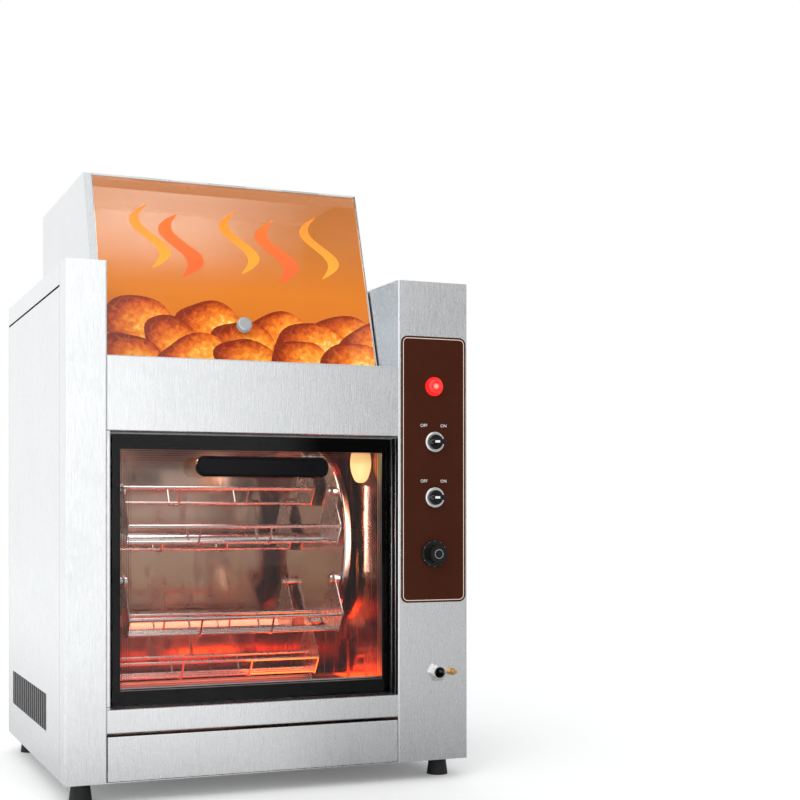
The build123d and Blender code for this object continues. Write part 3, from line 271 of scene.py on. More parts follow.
def effect_group(
    name: str, inputs: Iterable[tuple[str, str]], outputs: Iterable[tuple[str, str]]
) -> tuple[Graph, bpy.types.Node, bpy.types.Node]:
    """Starts a shared effect.

    Args:
        name: the group's name.
        inputs: names and kinds of its inputs.
        outputs: names and kinds of its outputs.

    Returns:
        The group's graph, its input node and its output node.
    """
    tree = bpy.data.node_groups.new(name, "ShaderNodeTree")
    for way, sockets in (("INPUT", inputs), ("OUTPUT", outputs)):
        for label, kind in sockets:
            tree.interface.new_socket(name=label, in_out=way, socket_type=f"NodeSocket{kind}")
    graph = Graph(tree)
    return graph, graph.add("NodeGroupInput"), graph.add("NodeGroupOutput")


class Effects:
    """Effects that several finishes share, each built once."""

    def __init__(self) -> None:
        """Builds the groups."""
        self.grain = self._grain()
        self.marks = self._marks()
        self.heat = self._heat()
        self.dust = self._dust()

    def _grain(self) -> bpy.types.NodeTree:
        """Returns brushing: fine streaks and separate darker flecks."""
        graph, given, out = effect_group(
            "brushed_grain",
            [("Place", "Vector"), ("Stretch", "Vector")],
            [("Streak", "Float"), ("Fleck", "Float")],
        )
        stretched = graph.vector("MULTIPLY", given.outputs["Place"], given.outputs["Stretch"])
        streak = graph.noise(stretched, 3.0, 3.0)
        fleck = graph.noise(stretched, 1.8, 2.0, 0.4)
        graph.feed(out.inputs["Streak"], streak)
        graph.feed(out.inputs["Fleck"], graph.span(fleck, 0.52, 0.7))
        return graph.tree

    def _marks(self) -> bpy.types.NodeTree:
        """Returns soft smudges left by hands and cloths."""
        graph, given, out = effect_group(
            "handling_marks", [("Place", "Vector"), ("Size", "Float")], [("Mask", "Float")]
        )
        broad = graph.noise(given.outputs["Place"], given.outputs["Size"], 3.0, 0.6)
        fine = graph.noise(given.outputs["Place"], 90.0, 2.0)
        mask = graph.calc("MULTIPLY", graph.span(broad, 0.42, 0.72), graph.span(fine, 0.3, 0.8))
        graph.feed(out.inputs["Mask"], mask)
        return graph.tree

    def _heat(self) -> bpy.types.NodeTree:
        """Returns pale gold to brown heat tint that fades upwards, and baked-on film."""
        graph, given, out = effect_group(
            "baked_film",
            [("Place", "Vector"), ("Low", "Float"), ("High", "Float")],
            [("Tint", "Color"), ("Film", "Float")],
        )
        rise = graph.span(graph.axes(given.outputs["Place"])[2], given.outputs["Low"], given.outputs["High"])
        patch = graph.noise(given.outputs["Place"], 14.0, 4.0, 0.8)
        level = graph.calc("ADD", rise, graph.scaled(graph.calc("SUBTRACT", patch, 0.5), 0.7))
        tint = graph.ramp(
            level, [(0.0, rgb(0.42, 0.24, 0.12)), (0.35, rgb(0.66, 0.5, 0.33)), (0.8, rgb(0.8, 0.77, 0.73))]
        )
        drips = graph.noise(graph.vector("MULTIPLY", given.outputs["Place"], (1.0, 1.0, 0.25)), 55.0, 4.0, 0.5)
        film = graph.calc("MULTIPLY", graph.span(drips, 0.5, 0.75), graph.span(level, 0.9, 0.1), clamp=True)
        graph.feed(out.inputs["Tint"], tint)
        graph.feed(out.inputs["Film"], film)
        return graph.tree

    def _dust(self) -> bpy.types.NodeTree:
        """Returns sparse specks of dust."""
        graph, given, out = effect_group("dust_specks", [("Place", "Vector")], [("Mask", "Float")])
        cells = graph.cells(given.outputs["Place"], 380.0)
        thin = graph.noise(given.outputs["Place"], 40.0, 2.0)
        speck = graph.calc("MULTIPLY", graph.span(cells, 0.16, 0.04), graph.span(thin, 0.45, 0.7))
        graph.feed(out.inputs["Mask"], speck)
        return graph.tree


def toned(tone: Colour, share: float, lift: float = 0.0) -> Colour:
    """Returns a colour made darker or paler, at most white."""
    return rgb(*(min(1.0, part * share + lift) for part in tone[:3]))


class Bench:
    """A new material with its graph, its shader and the shared effects at hand."""

    def __init__(self, name: str, effects: Effects | None = None) -> None:
        """Starts the material.

        Args:
            name: the material's name.
            effects: the shared effects, for a finish that uses them.
        """
        self.material = bpy.data.materials.new(name)
        self.material.use_nodes = True
        self.graph = Graph(self.material.node_tree)
        self.shader = self.material.node_tree.nodes["Principled BSDF"]
        self.effects = effects
        self.place = self.graph.place()

    def set(self, **values: Feed) -> None:
        """Feeds the shader's inputs, each named with _ for a space."""
        for name, value in values.items():
            self.graph.feed(self.shader.inputs[name.replace("_", " ")], value)

    def rise(self, low: float, high: float) -> bpy.types.NodeSocket:
        """Returns the share of the way up from one height to another."""
        return self.graph.span(self.graph.axes(self.place)[2], low, high)

    def grain(self, grain: Grain) -> tuple[bpy.types.NodeSocket, bpy.types.NodeSocket]:
        """Returns the streaks and the flecks of brushed sheet."""
        node = self.graph.effect(self.effects.grain, Place=self.place, Stretch=grain.value)
        return node.outputs["Streak"], node.outputs["Fleck"]

    def marks(self, size: float) -> bpy.types.NodeSocket:
        """Returns the mask of smudges, finer for a larger number."""
        return self.graph.effect(self.effects.marks, Place=self.place, Size=size).outputs["Mask"]

    def dust(self) -> bpy.types.NodeSocket:
        """Returns the mask of dust specks."""
        return self.graph.effect(self.effects.dust, Place=self.place).outputs["Mask"]

    def imprint(self, ink: bpy.types.NodeSocket, paper: float, emission: float, rough: float) -> None:
        """Feeds the shader with a print and its painted glow.

        Args:
            ink: the print's colour.
            paper: how much of the pale ground shows through the fine screen.
            emission: strength of a painted glow in the ink's colour, standing in for light that shines through it.
            rough: roughness of the ink where it has no smears.
        """
        screen = self.graph.noise(self.place, SCREEN_SCALE, 1.0)
        ground = self.graph.mix(self.graph.scaled(screen, paper), ink, PAPER) if paper else ink
        smears = self.graph.scaled(self.marks(PRINT_SMEARS), 0.12, rough)
        self.set(Base_Color=ground, Emission_Color=ink, Emission_Strength=emission, Roughness=smears)


@dataclass(frozen=True)
class Finish:
    """Base of every finish."""

    name: str

    def make(self, effects: Effects) -> bpy.types.Material:
        """Returns the material."""
        bench = Bench(self.name, effects)
        self.wire(bench, bench.graph)
        return bench.material

    def wire(self, bench: Bench, graph: Graph) -> None:
        """Wires the nodes of the finish."""
        raise NotImplementedError


@dataclass(frozen=True)
class PaintedShade:
    """Painted shade: the colour of the faces of a sheet that turn away from its lit side."""

    tone: Colour
    clean: tuple[float, float, float]
    limit: float = 0.9
    blur: float = 0.05


@dataclass(frozen=True)
class BrushedSteel(Finish):
    """Brushed stainless sheet with flecks, smudges and a satin sheen, and painted shade on the faces that turn away
    from the lit side where one is named.
    """

    tone: Colour
    roughness: float
    grain: Grain = Grain.UPRIGHT
    fleck: float = 0.16
    hidden: PaintedShade | None = None

    def wire(self, bench: Bench, graph: Graph) -> None:
        """Wires the nodes of the finish."""
        streak, fleck = bench.grain(self.grain)
        marks = bench.marks(9.0)
        darker = toned(self.tone, 0.62)
        flecked = graph.mix(graph.scaled(fleck, self.fleck), self.tone, darker)
        surface_colour = graph.mix(graph.scaled(marks, 0.1), flecked, darker)
        # painted shade: faces turned away from the lit side take the dark tone, with some smudges
        if self.hidden:
            faces = graph.add("ShaderNodeNewGeometry").outputs["True Normal"]
            turn = graph.vector("DOT_PRODUCT", faces, self.hidden.clean)
            away = graph.span(turn, self.hidden.limit, self.hidden.limit - self.hidden.blur)
            surface_colour = graph.mix(away, surface_colour, graph.mix(graph.scaled(marks, 0.2), self.hidden.tone, darker))
        rough = graph.scaled(streak, 0.16, self.roughness - 0.08)
        bench.set(
            Base_Color=surface_colour, Metallic=1.0, Roughness=graph.scaled(marks, 0.08, rough),
            Normal=graph.bump(streak, 0.25, 0.00025),
        )


@dataclass(frozen=True)
class HotSteel(Finish):
    """Polished stainless sheet coloured by heat, with baked-on film."""

    tone: Colour
    roughness: float
    low: float
    high: float

    def wire(self, bench: Bench, graph: Graph) -> None:
        """Wires the nodes of the finish."""
        streak, _ = bench.grain(Grain.UPRIGHT)
        heat = graph.effect(bench.effects.heat, Place=bench.place, Low=self.low, High=self.high)
        film = heat.outputs["Film"]
        tinted = graph.mix(0.75, self.tone, heat.outputs["Tint"], "MULTIPLY")
        rough = graph.scaled(film, 0.35, self.roughness)
        bench.set(
            Base_Color=graph.mix(graph.scaled(film, 0.5), tinted, BAKED_ON),
            Metallic=graph.scaled(film, -0.5, 1.0),
            Roughness=graph.scaled(bench.marks(16.0), 0.14, rough),
            Normal=graph.bump(graph.calc("ADD", streak, film), 0.08, 0.0002),
        )


@dataclass(frozen=True)
class Metal(Finish):
    """Plated, cast or turned metal part."""

    tone: Colour
    roughness: float
    cast: float = 0.0

    def wire(self, bench: Bench, graph: Graph) -> None:
        """Wires the nodes of the finish."""
        marks = bench.marks(40.0)
        bench.set(
            Base_Color=graph.mix(graph.scaled(marks, 0.45), self.tone, toned(self.tone, 0.55)), Metallic=1.0,
            Roughness=graph.scaled(marks, 0.18, self.roughness),
            Normal=graph.bump(graph.noise(bench.place, 900.0, 3.0), 0.1 + self.cast, 0.0002),
        )


@dataclass(frozen=True)
class Plastic(Finish):
    """Moulded plastic, rubber or lacquer."""

    tone: Colour
    roughness: float
    texture: float = 0.05
    coat: float = 0.0
    dusty: float = 0.25
    shine: float = 0.5

    def wire(self, bench: Bench, graph: Graph) -> None:
        """Wires the nodes of the finish."""
        marks = bench.marks(22.0)
        surface_colour = graph.mix(graph.scaled(marks, 0.3), self.tone, toned(self.tone, 1.3, 0.004))
        bench.set(
            Base_Color=graph.mix(graph.scaled(bench.dust(), self.dusty), surface_colour, DUST),
            Roughness=graph.scaled(marks, 0.12, self.roughness), Specular_IOR_Level=self.shine,
            Coat_Weight=self.coat, Coat_Roughness=0.04,
            Normal=graph.bump(graph.noise(bench.place, 1400.0, 2.0), self.texture, 0.0002),
        )


@dataclass(frozen=True)
class Ceramic(Finish):
    """Glazed or bare fired ceramic."""

    tone: Colour
    scorched: Colour = rgb(0.5, 0.4, 0.28)

    def wire(self, bench: Bench, graph: Graph) -> None:
        """Wires the nodes of the finish."""
        marks = bench.marks(60.0)
        bench.set(
            Base_Color=graph.mix(graph.scaled(marks, 0.5), self.tone, self.scorched),
            Roughness=graph.scaled(marks, 0.3, 0.22),
            Normal=graph.bump(graph.noise(bench.place, 500.0, 3.0), 0.15, 0.0003),
        )


@dataclass(frozen=True)
class Wool(Finish):
    """Mineral wool blanket."""

    tone: Colour
    deep: Colour = rgb(0.5, 0.46, 0.38)
    speck: Colour = rgb(0.3, 0.27, 0.22)

    def wire(self, bench: Bench, graph: Graph) -> None:
        """Wires the nodes of the finish."""
        fibre = graph.noise(graph.vector("MULTIPLY", bench.place, (3.0, 1.0, 1.0)), 240.0, 6.0, 2.0)
        base = graph.mix(graph.span(fibre, 0.3, 0.7), self.deep, self.tone)
        bench.set(
            Base_Color=graph.mix(bench.dust(), base, self.speck), Roughness=0.95,
            Normal=graph.bump(fibre, 0.8, 0.002),
        )


@dataclass(frozen=True)
class ClearGlass(Finish):
    """Toughened glass with faint smears."""

    tone: Colour
    smear: float = 0.05

    def wire(self, bench: Bench, graph: Graph) -> None:
        """Wires the nodes of the finish."""
        marks = bench.marks(12.0)
        bench.set(
            Base_Color=graph.mix(marks, self.tone, toned(self.tone, 0.96)), IOR=1.3, Transmission_Weight=1.0,
            Roughness=graph.scaled(marks, self.smear),
        )


@dataclass(frozen=True)
class Quartz(Finish):
    """Milky quartz tube lit by its coil, with a band for each turn and a duller glow low down."""

    tone: Colour
    glow: Colour
    strength: float
    pitch: float
    low: float
    high: float

    def wire(self, bench: Bench, graph: Graph) -> None:
        """Wires the nodes of the finish."""
        along = graph.axes(bench.place)[0]
        band = graph.span(graph.calc("SINE", graph.scaled(along, 2 * math.pi / self.pitch)), -0.6, 0.8)
        cloud = bench.marks(30.0)
        dim = rgb(*(part * share for part, share in zip(self.glow, (0.5, 0.22, 0.2))))
        dull = graph.mix(band, rgb(0.04, 0.002, 0.001), rgb(0.16, 0.008, 0.003))
        bench.set(
            Base_Color=graph.mix(cloud, self.tone, rgb(0.75, 0.6, 0.52)), Roughness=graph.scaled(cloud, 0.2, 0.12),
            Emission_Color=graph.mix(bench.rise(self.low, self.high), dull, graph.mix(band, dim, self.glow)),
            Emission_Strength=self.strength, Transmission_Weight=0.55,
        )


@dataclass(frozen=True)
class Glow(Finish):
    """Part that shines by itself, shaded from one end of its height to the other."""

    low_tone: Colour
    high_tone: Colour
    low: float
    high: float
    strength: float

    def wire(self, bench: Bench, graph: Graph) -> None:
        """Wires the nodes of the finish."""
        marks = bench.marks(80.0)
        shade = graph.mix(bench.rise(self.low, self.high), self.low_tone, self.high_tone)
        bench.set(
            Base_Color=shade, Emission_Color=graph.mix(graph.scaled(marks, 0.2), shade, self.high_tone),
            Emission_Strength=self.strength, Roughness=graph.scaled(marks, 0.2, 0.15),
        )


@dataclass(frozen=True)
class LitLens(Finish):
    """Coloured lens with a lamp behind its centre."""

    tone: Colour
    heart: Colour
    centre: tuple[float, float, float]
    radius: float

    def wire(self, bench: Bench, graph: Graph) -> None:
        """Wires the nodes of the finish."""
        flat = graph.vector("MULTIPLY", graph.vector("SUBTRACT", bench.place, self.centre), (1.0, 0.0, 1.0))
        reach = graph.calc("DIVIDE", graph.vector("LENGTH", flat), self.radius)
        rings = graph.calc("SINE", graph.scaled(reach, 24.0))
        bench.set(
            Base_Color=graph.mix(graph.scaled(bench.dust(), 0.2), self.tone, rgb(0.8, 0.5, 0.5)),
            Emission_Color=graph.mix(graph.span(reach, 0.42, 0.12), self.tone, self.heart), Emission_Strength=0.75,
            Roughness=0.12, Coat_Weight=0.5, Normal=graph.bump(rings, 0.3, 0.0004),
        )


@dataclass(frozen=True)
class PrintedFilm(Finish):
    """Translucent film whose ink deepens from pale peach down to orange."""

    stops: tuple[tuple[float, Colour], ...]
    low: float
    high: float
    cover: tuple[tuple[float, float], ...]

    def wire(self, bench: Bench, graph: Graph) -> None:
        """Wires the nodes of the finish."""
        rise = bench.rise(self.low, self.high)
        bench.imprint(graph.with_painted_reflection(graph.ramp(rise, self.stops)), 0.06, 0.08, 0.1)
        cover = graph.ramp(rise, [(where, rgb(share, share, share)) for where, share in self.cover])
        bench.set(Specular_IOR_Level=0.2, Alpha=cover)


@dataclass(frozen=True)
class PrintedRibbon(Finish):
    """Opaque print that runs from one colour to another up its height."""

    first: Colour
    second: Colour
    low: float
    high: float

    def wire(self, bench: Bench, graph: Graph) -> None:
        """Wires the nodes of the finish."""
        ink = graph.mix(bench.rise(self.low, self.high), self.first, self.second)
        bench.imprint(graph.with_painted_reflection(ink), 0.05, 0.1, 0.12)


@dataclass(frozen=True)
class PrintedStone(Finish):
    """Print of glowing stones, each shaded as a dome from its own map."""

    heat: tuple[tuple[float, Colour], ...] = (
        (0.0, rgb(0.26, 0.022, 0.003)),
        (0.3, rgb(0.55, 0.065, 0.005)),
        (0.6, rgb(0.86, 0.18, 0.012)),
        (0.85, rgb(1.0, 0.4, 0.04)),
        (1.0, rgb(1.0, 0.76, 0.24)),
    )
    vein: Colour = rgb(1.0, 0.5, 0.06)

    def wire(self, bench: Bench, graph: Graph) -> None:
        """Wires the nodes of the finish."""
        own = graph.add("ShaderNodeUVMap", uv_map="dome").outputs[0]
        across, up, _ = graph.axes(graph.vector("MULTIPLY_ADD", own, (2.0, 2.0, 0.0), (-1.0, -1.0, 0.0)))
        square = graph.calc("MULTIPLY_ADD", across, across, graph.calc("MULTIPLY", up, up))
        dome = graph.calc("SQRT", graph.calc("SUBTRACT", 1.0, square, clamp=True))
        lit = graph.scaled(dome, 0.72, graph.scaled(across, 0.42, graph.scaled(up, -0.28)))
        grit = graph.noise(bench.place, 130.0, 5.0, 0.4)
        body = graph.ramp(graph.calc("ADD", lit, graph.scaled(graph.calc("SUBTRACT", grit, 0.5), 0.9)), self.heat)
        cracks = graph.cells(bench.place, 55.0, feature="DISTANCE_TO_EDGE")
        vein = graph.calc("MULTIPLY", graph.span(cracks, 0.05, 0.01), graph.span(dome, 0.1, 0.6))
        bench.imprint(graph.with_painted_reflection(graph.mix(graph.scaled(vein, 0.1), body, self.vein)), 0.0, 0.12, 0.12)


# --------------------------------------------------------------------- shaping
class Piece:
    """One new mesh piece, drawn with bmesh operators."""

    def __init__(self, name: str) -> None:
        """Starts an empty mesh."""
        self.name = name
        self.mesh = bmesh.new()

    def box(self, size: Sequence[float], centre: Sequence[float]) -> list[bmesh.types.BMVert]:
        """Adds a block and returns its vertices."""
        verts = bmesh.ops.create_cube(self.mesh, size=1.0)["verts"]
        bmesh.ops.scale(self.mesh, vec=size, verts=verts)
        bmesh.ops.translate(self.mesh, vec=centre, verts=verts)
        return verts

    def rounded_plate(self, width: float, height: float, corner: float, steps: int = 6) -> bmesh.types.BMFace:
        """Adds a flat plate with round corners in the XY plane and returns its face."""
        verts = bmesh.ops.create_grid(self.mesh, x_segments=1, y_segments=1, size=0.5)["verts"]
        bmesh.ops.scale(self.mesh, vec=(width, height, 1.0), verts=verts)
        face = verts[0].link_faces[0]
        if corner:
            bmesh.ops.bevel(
                self.mesh, geom=verts, offset=corner, offset_type="OFFSET", segments=steps,
                profile=0.5, affect="VERTICES", material=-1,
            )
            face = max(self.mesh.faces, key=lambda each: each.calc_area())
        return face

    def line_frame(self, width: float, height: float, corner: float, line: float) -> list[bmesh.types.BMFace]:
        """Adds a flat line that runs round a rounded rectangle and returns its faces."""
        face = self.rounded_plate(width, height, corner)
        ring = bmesh.ops.inset_region(
            self.mesh, faces=[face], thickness=line, use_even_offset=True, use_boundary=True
        )["faces"]
        bmesh.ops.delete(self.mesh, geom=[face], context="FACES")
        return ring

    def thicken(self, depth: float) -> None:
        """Gives every flat face a thickness."""
        bmesh.ops.solidify(self.mesh, geom=self.mesh.faces[:], thickness=depth)

    def soften(self, reach: float) -> None:
        """Bevels every sharp edge."""
        sharp = [edge for edge in self.mesh.edges if edge.calc_face_angle(0.0) > math.radians(60.0)]
        bmesh.ops.bevel(
            self.mesh, geom=sharp, offset=reach, offset_type="OFFSET", segments=2, profile=0.5,
            affect="EDGES", material=-1,
        )

    def move(self, matrix: Matrix) -> None:
        """Moves the whole mesh."""
        bmesh.ops.transform(self.mesh, matrix=matrix, verts=self.mesh.verts[:])

    def add_text(self, words: str, size: float, matrix: Matrix) -> None:
        """Adds plain lettering.

        Args:
            words: the letters.
            size: their height.
            matrix: the place of the middle of the words.
        """
        font = bpy.data.curves.new(f"{self.name}_type", "FONT")
        font.body = words
        font.size = size
        font.align_x = "CENTER"
        font.align_y = "CENTER"
        font.extrude = 0.00006
        holder = bpy.data.objects.new(f"{self.name}_holder", font)
        mesh = bpy.data.meshes.new_from_object(holder)
        mesh.transform(matrix)
        self.mesh.from_mesh(mesh)
        bpy.data.objects.remove(holder)
        bpy.data.meshes.remove(mesh)
        bpy.data.curves.remove(font)

    def order_faces(self) -> None:
        """Sorts the faces by their vertices, because a solidified sheet's rim comes in a new order each run."""
        self.mesh.verts.index_update()
        ranked = sorted(self.mesh.faces, key=lambda face: [vert.index for vert in face.verts])
        for index, face in enumerate(ranked):
            face.index = index
        self.mesh.faces.sort()

    def finish(
        self, material: bpy.types.Material, body: Body, slot: str, smooth: bool = False
    ) -> bpy.types.Object:
        """Turns the drawing into an object of the scene.

        Args:
            material: its finish.
            body: what it moves with.
            slot: the record's slot for its finish; not used.
            smooth: shades it as a curved surface.

        Returns:
            The new object.
        """
        bmesh.ops.remove_doubles(self.mesh, verts=self.mesh.verts[:], dist=1e-7)
        bmesh.ops.recalc_face_normals(self.mesh, faces=self.mesh.faces[:])
        self.order_faces()
        for face in self.mesh.faces:
            face.smooth = smooth
        mesh = bpy.data.meshes.new(self.name)
        self.mesh.to_mesh(mesh)
        self.mesh.free()
        mesh.materials.append(material)
        piece = bpy.data.objects.new(self.name, mesh)
        bpy.context.scene.collection.objects.link(piece)
        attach(piece, body.value)
        LOG.info("%s: %d faces on %s", self.name, len(mesh.polygons), body.value)
        return piece


@dataclass(frozen=True)
class Assembly:
    """Base of every sub-assembly: finds solids and gives them finishes."""

    frame: dict
    effects: Effects

    def dress(self, finish: Finish, *nodes: str) -> bpy.types.Material:
        """Gives solids a finish by their slots.

        Args:
            finish: the finish.
            nodes: names of the solids.

        Returns:
            The finish's material, for pieces that share it.
        """
        material = finish.make(self.effects)
        for name in nodes:
            solid = self.frame["nodes"][name]
            if not solid.material_slots:
                solid.data.materials.append(material)
            for slot in solid.material_slots:
                slot.material = material
        return material


# --------------------------------------------------------------- sub-assemblies
@dataclass(frozen=True)
class Casing(Assembly):
    """Outer sheet metal, feet, insulation and screws."""

    skin: float = 0.0006
    louvre_count: int = 17
    louvre_pitch: float = 0.019
    louvre_slot: float = 0.011
    louvre_height: float = 0.052
    louvre_middle: float = 0.106
    louvre_start: float = 0.1159
    edge_share: float = 0.25

    def build(self) -> None:
        """Dresses the casing."""
        steel = BrushedSteel("casing_steel", SHEET, SHEET_ROUGH)
        self.dress(
            steel, "base_pan", "left_post", "crossbar", "bottom_rail", "column_shell", "rear_panel",
        )
        lengthwise = BrushedSteel("deck_steel", SHEET, SHEET_ROUGH, Grain.LEVEL)
        self.dress(lengthwise, "left_deck", "column_deck", "tray_runners")
        # Dark bars over the louvres: painted shade.
        louvre_shade = BrushedSteel("louvre_shade_steel", rgb(0.15, 0.145, 0.15), 0.4).make(self.effects)
        for side in ("left", "right"):
            low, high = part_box(f"{side}_side_panel")
            face, way = (low.x, -1.0) if side == "left" else (high.x, 1.0)
            # Painted shade: the faces of each side panel that turn inwards, the louvre blades among them, are dark.
            hidden = PaintedShade(rgb(0.07, 0.068, 0.07), (way, 0.0, 0.0))
            panel = BrushedSteel(f"{side}_panel_steel", SHEET, SHEET_ROUGH, hidden=hidden)
            self.dress(panel, f"{side}_side_panel")
            self.add_louvre_shade(f"{side}_louvre_shade_bars", Vector((face, low.y, self.louvre_middle)), louvre_shade)
        # Painted shade: every face of the crumb tray but its front is dark.
        painted_light = PaintedShade(rgb(0.06, 0.05, 0.045), (0.0, -1.0, 0.0))
        tray = BrushedSteel("tray_steel", SHEET, SHEET_ROUGH, hidden=painted_light)
        self.dress(tray, "crumb_tray")
        self.dress(Plastic("foot_rubber", rgb(0.012, 0.012, 0.012), 0.6, 0.5), "rubber_feet")
        self.dress(Metal("screw_metal", rgb(0.72, 0.73, 0.74), 0.28), "casing_screws")
        self.dress(Wool("mineral_wool", rgb(0.8, 0.76, 0.64)), "insulation")

    def add_louvre_shade(self, name: str, corner: Vector, steel: bpy.types.Material) -> None:
        """Adds dark bars between the louvres of one side: painted shade of the louvres.

        Args:
            name: the piece's name.
            corner: a point of the panel's face, at its front edge and half way up the louvres.
            steel: the finish, a dark steel that paints the shade.
        """
        bars = Piece(name)
        gap = self.louvre_pitch - self.louvre_slot
        for number in range(self.louvre_count + 1):
            along = self.louvre_start + (number - 0.5) * self.louvre_pitch
            width = gap
            if number in (0, self.louvre_count):
                width = gap / 4
                along += (gap - width) / 2 * (1 if number == 0 else -1)
            bars.box((self.skin, width, self.louvre_height), corner + Vector((0.0, along, 0.0)))
        bars.soften(self.skin * self.edge_share)
        bars.finish(steel, Body.CABINET, "casing")


@dataclass(frozen=True)
class Chamber(Assembly):
    """Heated chamber with its lining, heaters and oven lamp."""

    coil_pitch: float = 0.0032
    coil_radius: float = 0.0036
    wire_radius: float = 0.00045
    coil_turns: int = 5
    glow_rise: tuple[float, float] = (0.14, 0.18)  # floor tubes glow dully, the rear one brightly

    def build(self) -> None:
        """Dresses the chamber and adds the glowing coils."""
        low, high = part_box("chamber_back_wall")
        lining = HotSteel("lining_steel", rgb(0.46, 0.31, 0.25), 0.1, low.z, high.z)
        self.dress(lining, "chamber_left_wall", "chamber_back_wall", "chamber_ceiling")
        # The right wall's lining is painted orange-red, beyond its heat tint: painted glow of the heaters falling on
        # it.
        glow_tinted = HotSteel("side_lining_steel", rgb(0.5, 0.14, 0.045), 0.12, low.z, high.z + 0.2)
        self.dress(glow_tinted, "chamber_right_wall")
        # The chamber floor's lining is painted darker and redder than the back wall, beyond its heat tint: painted
        # reflection of the heaters' red glow.
        painted_light = HotSteel("floor_lining_steel", rgb(0.3, 0.12, 0.1), 0.14, low.z, high.z)
        self.dress(painted_light, "chamber_floor")
        self.dress(BrushedSteel("mouth_steel", rgb(0.95, 0.92, 0.9), 0.4, fleck=0.02), "front_frame")
        self.dress(Ceramic("white_ceramic", rgb(0.86, 0.84, 0.79)), "tube_caps", "lamp_holder")
        milky, lit = rgb(0.95, 0.82, 0.78), rgb(1.0, 0.42, 0.33)
        quartz = Quartz("quartz_tube", milky, lit, 0.55, self.coil_pitch, *self.glow_rise)
        self.dress(quartz, "heating_tubes")
        bulb_low, bulb_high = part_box("lamp_bulb")
        bulb = Glow("lit_bulb", rgb(1.0, 0.72, 0.3), rgb(1.0, 0.3, 0.04), bulb_low.z + 0.02, bulb_high.z, 0.92)
        self.dress(bulb, "lamp_bulb")
        self.add_coils()

    def add_coils(self) -> None:
        """Winds a coil inside each quartz tube."""
        low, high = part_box("heating_tubes")
        places = sorted({(round(y, 4), round(z, 4)) for y, z in self.tube_axes()})
        glow = Glow("coil_glow", rgb(0.55, 0.05, 0.012), rgb(1.0, 0.42, 0.2), *self.glow_rise, 2.0)
        glow = glow.make(self.effects)
        turns = int((high.x - low.x - 0.03) / self.coil_pitch)
        coil = Piece("heater_coils")
        unit = self.wind(self.coil_turns)
        for y, z in places:
            for lap in range(turns // self.coil_turns):
                shifted = unit.copy()
                along = low.x + 0.015 + lap * self.coil_turns * self.coil_pitch
                shifted.transform(Matrix.Translation((along, y, z)))
                coil.mesh.from_mesh(shifted)
                bpy.data.meshes.remove(shifted)
        bpy.data.meshes.remove(unit)
        bmesh.ops.remove_doubles(coil.mesh, verts=coil.mesh.verts[:], dist=1e-5)
        bmesh.ops.holes_fill(coil.mesh, edges=[edge for edge in coil.mesh.edges if edge.is_boundary], sides=8)
        coil.finish(glow, Body.CABINET, "quartz", smooth=True)

    def wind(self, turns: int) -> bpy.types.Mesh:
        """Returns the mesh of a few turns of coil that starts at the origin and runs along X."""
        steps = 12
        wire = bmesh.new()
        start = Matrix.Translation((0.0, 0.0, self.coil_radius)) @ FRONT
        bmesh.ops.create_circle(wire, segments=5, radius=self.wire_radius, matrix=start)
        bmesh.ops.spin(
            wire, geom=wire.edges[:], cent=(0.0, 0.0, 0.0), axis=(1.0, 0.0, 0.0),
            dvec=(self.coil_pitch / steps, 0.0, 0.0), angle=2 * math.pi * turns, steps=turns * steps,
            use_merge=False,
        )
        mesh = bpy.data.meshes.new("coil_turns")
        wire.to_mesh(mesh)
        wire.free()
        return mesh

    def tube_axes(self) -> list[tuple[float, float]]:
        """Returns the Y and Z of each tube's axis, from the ends of the tubes' own mesh."""
        solid = self.frame["nodes"]["heating_tubes"].data
        groups: list[list[Vector]] = []
        for vert in solid.vertices:
            home = next((group for group in groups if (group[0].yz - vert.co.yz).length < 0.02), None)
            if home is None:
                groups.append([vert.co])
            else:
                home.append(vert.co)
        axes = []
        for group in groups:
            ys = [point.y for point in group]
            zs = [point.z for point in group]
            axes.append(((min(ys) + max(ys)) / 2, (min(zs) + max(zs)) / 2))
        return axes


@dataclass(frozen=True)
class Rotor(Assembly):
    """Turning wheels with their wire baskets, shaft and drive."""

    def build(self) -> None:
        """Dresses the rotor."""
        low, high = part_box("right_wheel")
        wheel = HotSteel("wheel_steel", rgb(0.86, 0.78, 0.72), 0.14, low.z - 0.4, high.z - 0.2)
        self.dress(wheel, "left_wheel", "right_wheel")
        wire = Metal("basket_wire", rgb(0.55, 0.51, 0.49), 0.26)
        self.dress(wire, *(f"basket_{number}" for number in range(1, 7)))
        turned = Metal("turned_steel", rgb(0.7, 0.7, 0.7), 0.24)
        self.dress(turned, "rotor_shaft", "basket_pins", "drive_coupling")
        self.dress(Metal("bearing_bronze", rgb(0.7, 0.42, 0.2), 0.32), "shaft_bearings")
        self.dress(Metal("motor_casting", rgb(0.5, 0.51, 0.53), 0.42, 0.4), "gear_motor")


